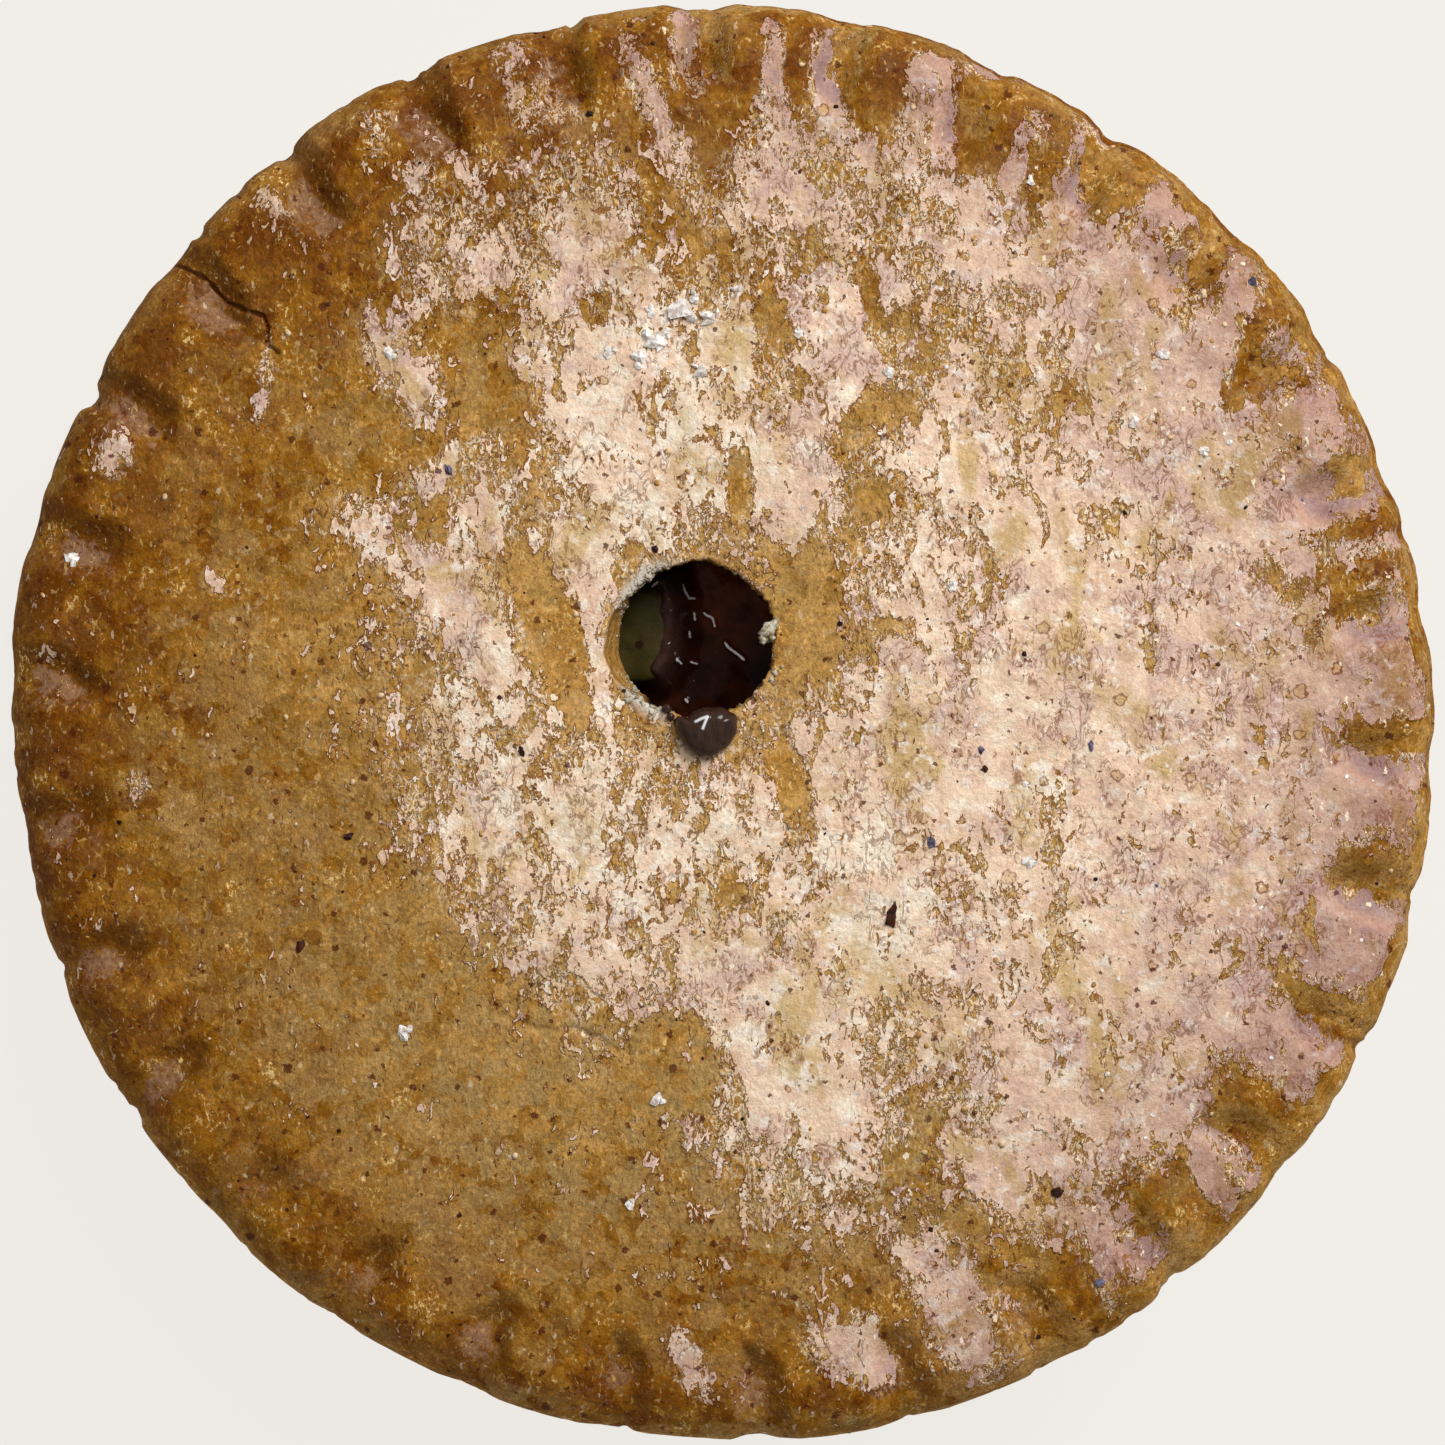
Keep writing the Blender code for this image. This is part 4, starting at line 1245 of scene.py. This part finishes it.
def makeFilling():
    rings = []
    spacing = 0.08 * mm
    fineRings = round(5.6 * mm / spacing)
    reaches = [(i + 1) * spacing / filling["outer"] for i in range(fineRings)]
    reaches += [0.2, 0.22, 0.25, 0.3, 0.36, 0.43, 0.5, 0.62, 0.75, 0.88, 1.0]
    for reach in reaches:
        columns = max(24, min(440, round(fullTurn * reach * filling["outer"] / spacing)))
        points = between(reach, columns, lambda a: 0.0, lambda a: filling["outer"])
        rings.append([(x, y, fillingTop(x, y)) for x, y in points])
    bottom = 3.945
    for radius, height in ((30.455, 22.255), (30.055, 19.4), (25.255, 4.945), (24.255, bottom)):
        rings.append([(*polar(radius * mm, a), height * mm) for a in evenAngles(120)])
    start = (*vent["centre"], fillingTop(*vent["centre"]))
    mesh = skinRings("fruitFilling", rings, start, (0, 0, bottom * mm))
    for name in ("bankedSheen", "foldGleam", "ruddyPaintedLight"):
        mesh.attributes.new(name, "FLOAT", "POINT")
    for k, vert in enumerate(mesh.vertices):
        if vert.co.z > 19 * mm:
            away = nearPath(vert.co.xy, bankPath) + 0.4 * mm * bumps(vert.co.x, vert.co.y, 0.9 * mm, 6.0)
            # painted highlights along the folds and round the bubbles
            fold = 1 - smooth(0.02 * mm, 0.13 * mm, min(nearPath(vert.co.xy, path) for path in wrinkles))
            for x, y, radius in bubbles:
                wall = abs((vert.co.xy - Vector((x, y)) * mm).length - radius * mm)
                fold = max(fold, 0.55 - 0.55 * smooth(0.0, 0.12 * mm, wall))
            # the far side of the hollow, in the lid's shadow, is painted lighter red: painted light
            far = smooth(3.8 * mm, 7.0 * mm, vert.co.y + 0.35 * vert.co.x)
            mesh.attributes["ruddyPaintedLight"].data[k].value = far * smooth(-2.4 * mm, -0.4 * mm, vert.co.x)
            mesh.attributes["bankedSheen"].data[k].value = 1 - smooth(0.2 * mm, 1.5 * mm, away)
            mesh.attributes["foldGleam"].data[k].value = fold
    handOver(placeMesh("fruitFilling", mesh, fillingMaterial()), "filling")


def power(value, exponent):
    return math.copysign(abs(value) ** exponent, value)


def appleMaterial():
    material, tree, shader = startMaterial("cookedApple")
    place = objectPlace(tree)
    mottled = step(grain(place, 1.2 * mm, 4, 0.6), 0.35, 0.65)
    colour = blend(mottled, apple["flesh"], apple["flesh2"])
    x, y, radius = (part * mm for part in apple["pip"])
    spot = addNode("ShaderNodeVectorMath", place)
    spot.operation = "DISTANCE"
    feed(spot.inputs[0], warped(place, 0.2 * mm, 0.15 * mm))
    spot.inputs[1].default_value = (x + 0.075 * mm, y + 0.075 * mm, apple["bottom"] + apple["height"])
    colour = blend(step(spot.outputs["Value"], 1.6 * radius, radius), colour, filling["dark"])
    surface(shader, colour, 0.4, 0.2)
    relief(shader, grain(place, 0.5 * mm, 3, 0.6), 0.05 * mm)
    return material


def makeApple():
    rings = []
    aside = Vector((math.cos(apple["turn"]), math.sin(apple["turn"])))
    ahead = Vector((-aside.y, aside.x))
    profile = [(0.82, 0.0), (0.93, 0.05), (0.98, 0.17), (1.0, 0.4), (0.99, 0.68), (0.96, 0.85), (0.9, 0.94),
               (0.8, 0.98), (0.6, 1.0), (0.4, 1.0), (0.2, 1.0)]
    columns = 96
    for share, rise in profile:
        ring = []
        for i in range(columns):
            angle = fullTurn * i / columns
            across = 0.5 * apple["width"] * power(math.cos(angle), 2 / apple["squareness"])
            along = 0.5 * apple["length"] * power(math.sin(angle), 2 / apple["squareness"])
            place = apple["centre"] + share * (across * aside + along * ahead)
            dent = 0.12 * mm * rise * bumps(place.x, place.y, 1.4 * mm, 12.0)
            ring.append((*place, apple["bottom"] + rise * apple["height"] + dent - 0.06 * mm * rise))
        rings.append(ring)
    top = apple["bottom"] + apple["height"]
    mesh = skinRings("applePiece", rings, (*apple["centre"], apple["bottom"]), (*apple["centre"], top))
    handOver(placeMesh("applePiece", mesh, appleMaterial()), "apple_piece")


def dropRadius(angle):  # between the measured radii, smoothly
    outline = [(math.radians(turned), radius * mm) for turned, radius in drop["outline"]]
    closing = (outline[0][0] + fullTurn, outline[0][1])
    for (start, first), (end, last) in zip(outline, outline[1:] + [closing]):
        for turned in (angle, angle + fullTurn):
            if start <= turned < end:
                return first + (last - first) * smooth(start, end, turned)
    return outline[0][1]


def lumpMesh(bm, centre, size, turned, seed, rough, fineness):  # a closed uneven lump
    made = bmesh.ops.create_icosphere(bm, subdivisions=fineness, radius=0.5)["verts"]
    c, s = math.cos(turned), math.sin(turned)
    for vert in made:
        scale = 1 + rough * noise.noise(vert.co * 3 + Vector((seed, seed, 0)))
        x, y, z = (part * scale * wide for part, wide in zip(vert.co, size))
        vert.co = Vector((x * c - y * s, x * s + y * c, z)) + Vector(centre)


def dropMaterial():
    material, tree, shader = startMaterial("jellyDrop")
    place = objectPlace(tree)
    streaks = grain(stretched(place, 20, 3.0), 0.3 * mm, 4, 0.65)
    colour = blend(step(streaks, 0.3, 0.7), drop["dark"], drop["brown"])
    # painted highlight along the drop's fold
    colour = blend(painted(tree, "foldGleam"), colour, filling["gleam"])
    surface(shader, colour, 0.14, 0.3)
    relief(shader, streaks, 0.01 * mm)
    return material


def makeDrop():
    rings = []
    columns, steps = 160, 52
    for i in range(steps):
        lean = -0.35 + (0.5 * math.pi + 0.35) * i / steps
        share = max(0.0, math.cos(lean)) ** 0.72
        rise = 0.26 * math.sin(lean) / math.sin(0.35) + 0.26 if lean < 0 else 0.26 + 0.74 * math.sin(lean)
        ring = []
        for k in range(columns):
            angle = fullTurn * k / columns
            x, y = polar(share * dropRadius(angle), angle)
            x, y = x + drop["centre"].x, y + drop["centre"].y
            fold = drop["foldHeight"] * (1 - smooth(0, 0.22 * mm, nearPath(Vector((x, y)), drop["fold"])))
            uneven = (fold + 0.08 * mm * bumps(x, y, 0.8 * mm, 14.0)) * min(1.0, rise * 2)
            ring.append((x, y, onLid(x, y) + 0.03 * mm + rise * drop["height"] + uneven))
        rings.append(ring)
    x, y = drop["centre"]
    under = onLid(x, y) + 0.03 * mm
    mesh = skinRings("fillingDrop", rings, (x, y, under), (x, y, under + drop["height"] + 0.02 * mm))
    foldGleam = mesh.attributes.new("foldGleam", "FLOAT", "POINT")
    # painted highlight along the drop's fold
    for k, vert in enumerate(mesh.vertices):
        if vert.co.z > under + 0.6 * drop["height"]:
            foldGleam.data[k].value = 0.8 * (1 - smooth(0.03 * mm, 0.1 * mm, nearPath(vert.co.xy, drop["fold"])))
    bm = bmesh.new()
    bm.from_mesh(mesh)
    for k, (x, y, size) in enumerate(drop["links"]):
        place = (x * mm, y * mm, onLid(x * mm, y * mm) + 0.1 * mm)
        lumpMesh(bm, place, (size * mm, size * mm, 0.8 * size * mm), 0.0, 3.0 + k, 0.3, 3)
    bm.to_mesh(mesh)
    bm.free()
    handOver(placeMesh("fillingDrop", mesh, dropMaterial()), "filling_drop")


def scatterTree(name):  # strews uneven lumps over a surface, as thickly as a painted layer says
    tree = bpy.data.node_groups.new(name, "GeometryNodeTree")
    given = (("Geometry", "Geometry"), ("Where", "String"), ("Pieces per area", "Float"), ("Seed", "Int"),
             ("Smallest", "Float"), ("Largest", "Float"), ("Flatness", "Float"), ("Unevenness", "Float"),
             ("Fineness", "Int"), ("Finish", "Material"))
    for label, kind in given:
        tree.interface.new_socket(name=label, in_out="INPUT", socket_type="NodeSocket" + kind)
    tree.interface.new_socket(name="Geometry", in_out="OUTPUT", socket_type="NodeSocketGeometry")

    def add(kind, links=(), **settings):
        node = tree.nodes.new(kind)
        for key, value in settings.items():
            setattr(node, key, value)
        for key, value in links:
            feed(node.inputs[key], value)
        return node

    def numbers(low, high, seed):  # a random number for each piece
        draw = add("FunctionNodeRandomValue", [(2, low), (3, high), ("Seed", seed)], data_type="FLOAT")
        return draw.outputs[1]

    source = add("NodeGroupInput").outputs
    layer = add("GeometryNodeInputNamedAttribute", [("Name", source["Where"])], data_type="FLOAT")
    chance = times(layer.outputs["Attribute"], source["Pieces per area"])
    spots = add("GeometryNodeDistributePointsOnFaces",
                [("Mesh", source["Geometry"]), ("Density", chance), ("Seed", source["Seed"])])
    lump = add("GeometryNodeMeshIcoSphere", [("Radius", 0.5), ("Subdivisions", source["Fineness"])])
    rough = add("ShaderNodeTexNoise", [("Scale", 2.2)], noise_dimensions="3D").outputs["Color"]
    offset = add("ShaderNodeVectorMath", [(0, rough), (1, (-0.5, -0.5, -0.5))], operation="ADD").outputs[0]
    offset = add("ShaderNodeVectorMath", [(0, offset), ("Scale", source["Unevenness"])], operation="SCALE")
    moves = [("Geometry", lump.outputs["Mesh"]), ("Offset", offset.outputs[0])]
    shaped = add("GeometryNodeSetPosition", moves)
    share = calc("POWER", numbers(0.0, 1.0, 3), 2.5)  # most are small
    span = calc("SUBTRACT", source["Largest"], source["Smallest"])
    size = calc("MULTIPLY_ADD", share, span, source["Smallest"])
    width, high = times(size, numbers(0.55, 1.0, 4)), times(size, source["Flatness"])
    scale = add("ShaderNodeCombineXYZ", [("X", size), ("Y", width), ("Z", high)])
    spin = add("ShaderNodeCombineXYZ", [("Z", numbers(0.0, fullTurn, 5))])
    spin = add("FunctionNodeEulerToRotation", [("Euler", spin.outputs[0])])
    turned = add("FunctionNodeRotateRotation", rotation_space="LOCAL", links=[
        ("Rotation", spots.outputs["Rotation"]), ("Rotate By", spin.outputs[0])])
    strewn = add("GeometryNodeInstanceOnPoints", [
        ("Points", spots.outputs["Points"]), ("Instance", shaped.outputs["Geometry"]),
        ("Rotation", turned.outputs[0]), ("Scale", scale.outputs[0])])
    real = add("GeometryNodeRealizeInstances", [("Geometry", strewn.outputs["Instances"])])
    finish = add("GeometryNodeSetMaterial",
                 [("Geometry", real.outputs["Geometry"]), ("Material", source["Finish"])])
    feed(add("NodeGroupOutput").inputs["Geometry"], finish.outputs["Geometry"])
    return tree


def placeLumps(bm, name):  # the large pieces, each where the dictionary below says; a crystal is three in one
    isSugar = name == "sugarCrystals"
    for k, (x, y, width, length, turned) in enumerate(placed.get(name, ())):
        for part in range(3 if isSugar else 1):
            aside, size = polar(0.22 * width, 2.4 * part + k), (1.0, 0.75, 0.6)[part]
            place = Vector(((x + part * aside[0]) * mm, (y + part * aside[1]) * mm))
            high = (0.22 * width + 0.08) * mm
            centre = (*place, onLid(*place) + 0.2 * high)
            spread = (size * width * mm, size * length * mm, high)
            lean = math.radians(turned + 55 * part)
            lumpMesh(bm, centre, spread, lean, 2.0 * k + part, 0.9, 1 if isSugar else 2)


def strew(base, tree, name, values, material, isSmooth):  # grows the pieces and keeps them as a plain mesh
    carrier = bpy.data.objects.new("carrier", base.data)
    bpy.context.scene.collection.objects.link(carrier)
    grow = carrier.modifiers.new("grow", "NODES")
    grow.node_group = tree
    sockets = {s.name: s.identifier for s in tree.interface.items_tree if s.in_out == "INPUT"}
    for label, value in {**values, "Finish": material}.items():
        grow[sockets[label]] = value
    ready = carrier.evaluated_get(bpy.context.evaluated_depsgraph_get())
    mesh = bpy.data.meshes.new_from_object(ready)
    bpy.data.objects.remove(carrier)
    bm = bmesh.new()
    bm.from_mesh(mesh)
    placeLumps(bm, name)
    mesh = bpy.data.meshes.new(name)
    bm.to_mesh(mesh)
    bm.free()
    for layer in [name for name in paintedLayers if name in mesh.attributes]:
        mesh.attributes.remove(mesh.attributes[layer])
    handOver(placeMesh(name, mesh, material, isSmooth))


def bitMaterial(name, first, second, size, roughness, shine):
    material, tree, shader = startMaterial(name)
    mixed = step(grain(objectPlace(tree), size, 3, 0.6), 0.4, 0.6)
    surface(shader, blend(mixed, first, second), roughness, shine)
    return material


placed = {  # mm: place, width, length, degrees turned from +Y
    "sugarCrystals": [
        (-33.8, 8.5, 0.6, 1.0, 70), (-2.2, 21.4, 1.4, 0.9, 20), (-0.7, 21.0, 1.0, 0.5, -30),
        (-1.5, 22.0, 0.7, 0.5, 40), (-3.5, 19.7, 1.3, 0.9, 45), (-2.9, 20.2, 0.6, 0.5, 0),
        (-4.3, 18.9, 0.9, 0.7, 10), (-3.7, 21.3, 0.4, 0.9, 0), (-5.9, 19.2, 0.6, 0.7, 0),
        (3.9, 20.2, 0.4, 0.6, 0), (-1.2, 18.2, 0.8, 0.5, 60), (0.8, 22.5, 0.6, 0.4, 0),
        (12.0, 7.1, 0.5, 0.6, 0), (8.6, 18.2, 0.6, 0.5, 30), (-3.4, -19.6, 0.6, 0.7, 0),
        (-4.8, -25.0, 0.5, 0.6, 40), (-17.3, 19.1, 0.5, 0.8, 20), (22.9, 19.1, 0.6, 0.6, 0),
        (21.4, 15.6, 0.5, 0.6, 30), (25.0, 14.1, 0.5, 0.5, 0), (15.9, -7.2, 0.6, 0.8, 0),
        (-16.5, -16.1, 0.7, 0.9, 10), (16.0, 28.1, 0.5, 0.4, 0),
    ],
    "spiceFlecks": [
        (8.8, -10.05, 0.55, 1.1, -10), (17.4, -24.4, 0.6, 0.5, 0), (-6.9, 31.6, 0.4, 0.35, 0),
        (-19.4, -5.9, 0.6, 0.35, 30), (-21.9, -11.6, 0.45, 0.6, -30), (13.6, -2.4, 0.35, 0.3, 0),
        (-3.5, 9.0, 0.35, 0.35, 0), (-10.4, -1.5, 0.3, 0.5, 20),
    ],
    "lilacFlecks": [
        (27.6, 22.9, 0.55, 0.45, 0), (19.6, -29.1, 0.5, 0.4, 0), (10.8, -6.2, 0.4, 0.6, 15),
        (13.4, -1.4, 0.35, 0.4, 0), (19.1, -1.2, 0.3, 0.5, 0), (-14.2, 13.1, 0.6, 0.3, -60),
    ],
    "ventCrumbs": [
        (2.45, 4.75, 0.8, 1.1, -35), (2.7, 5.1, 0.45, 0.5, 0), (2.1, 4.3, 0.4, 0.5, 40),
        (2.55, 4.4, 0.4, 0.4, 0), (2.7, 2.6, 0.3, 0.4, 20), (2.55, 2.2, 0.3, 0.3, 0),
        (-4.55, 1.7, 0.3, 0.35, 40), (-4.85, 1.15, 0.4, 0.3, 0),
    ],
}
bits = {
    "looseCrumbs": {"Where": "crumbly", "Pieces per area": 0.6 / mm**2, "Seed": 3, "Smallest": 0.1 * mm,
                    "Largest": 0.45 * mm, "Flatness": 0.5, "Unevenness": 0.5, "Fineness": 1},
    "ventCrumbs": {"Where": "ventEdge", "Pieces per area": 40 / mm**2, "Seed": 4, "Smallest": 0.08 * mm,
                   "Largest": 0.28 * mm, "Flatness": 0.7, "Unevenness": 1.0, "Fineness": 2},
    "sugarCrystals": {"Where": "sugary", "Pieces per area": 0.16 / mm**2, "Seed": 5, "Smallest": 0.1 * mm,
                      "Largest": 0.36 * mm, "Flatness": 0.5, "Unevenness": 0.9, "Fineness": 1},
    "spiceFlecks": {"Where": "top", "Pieces per area": 0.045 / mm**2, "Seed": 6, "Smallest": 0.1 * mm,
                    "Largest": 0.36 * mm, "Flatness": 0.4, "Unevenness": 0.9, "Fineness": 1},
    "lilacFlecks": {"Where": "glazeSheen", "Pieces per area": 0.012 / mm**2, "Seed": 7, "Smallest": 0.12 * mm,
                    "Largest": 0.3 * mm, "Flatness": 0.4, "Unevenness": 0.9, "Fineness": 1},
}
bitLooks = {  # two colours, the size of their mottling, roughness, shine
    "looseCrumbs": (srgb(186, 140, 72), srgb(232, 206, 168), 0.6 * mm, 0.6, 0.1),
    "ventCrumbs": (srgb(204, 197, 180), srgb(142, 126, 92), 0.24 * mm, 0.4, 0.3),
    "sugarCrystals": (srgb(252, 249, 244), srgb(204, 190, 180), 0.22 * mm, 0.2, 0.4),
    "spiceFlecks": (srgb(72, 32, 16), srgb(30, 18, 16), 0.5 * mm, 0.5, 0.2),
    "lilacFlecks": (srgb(116, 112, 136), srgb(78, 66, 84), 0.5 * mm, 0.4, 0.2),
}


def makeBits(crust):
    tree = scatterTree("strewnBits")
    for name, growth in bits.items():
        material = bitMaterial(name[:-1], *bitLooks[name])
        strew(crust, tree, name, growth, material, name.endswith("Crumbs"))


makeStudio()
crust = makeCrust()
makeFilling()
makeApple()
makeDrop()
makeBits(crust)
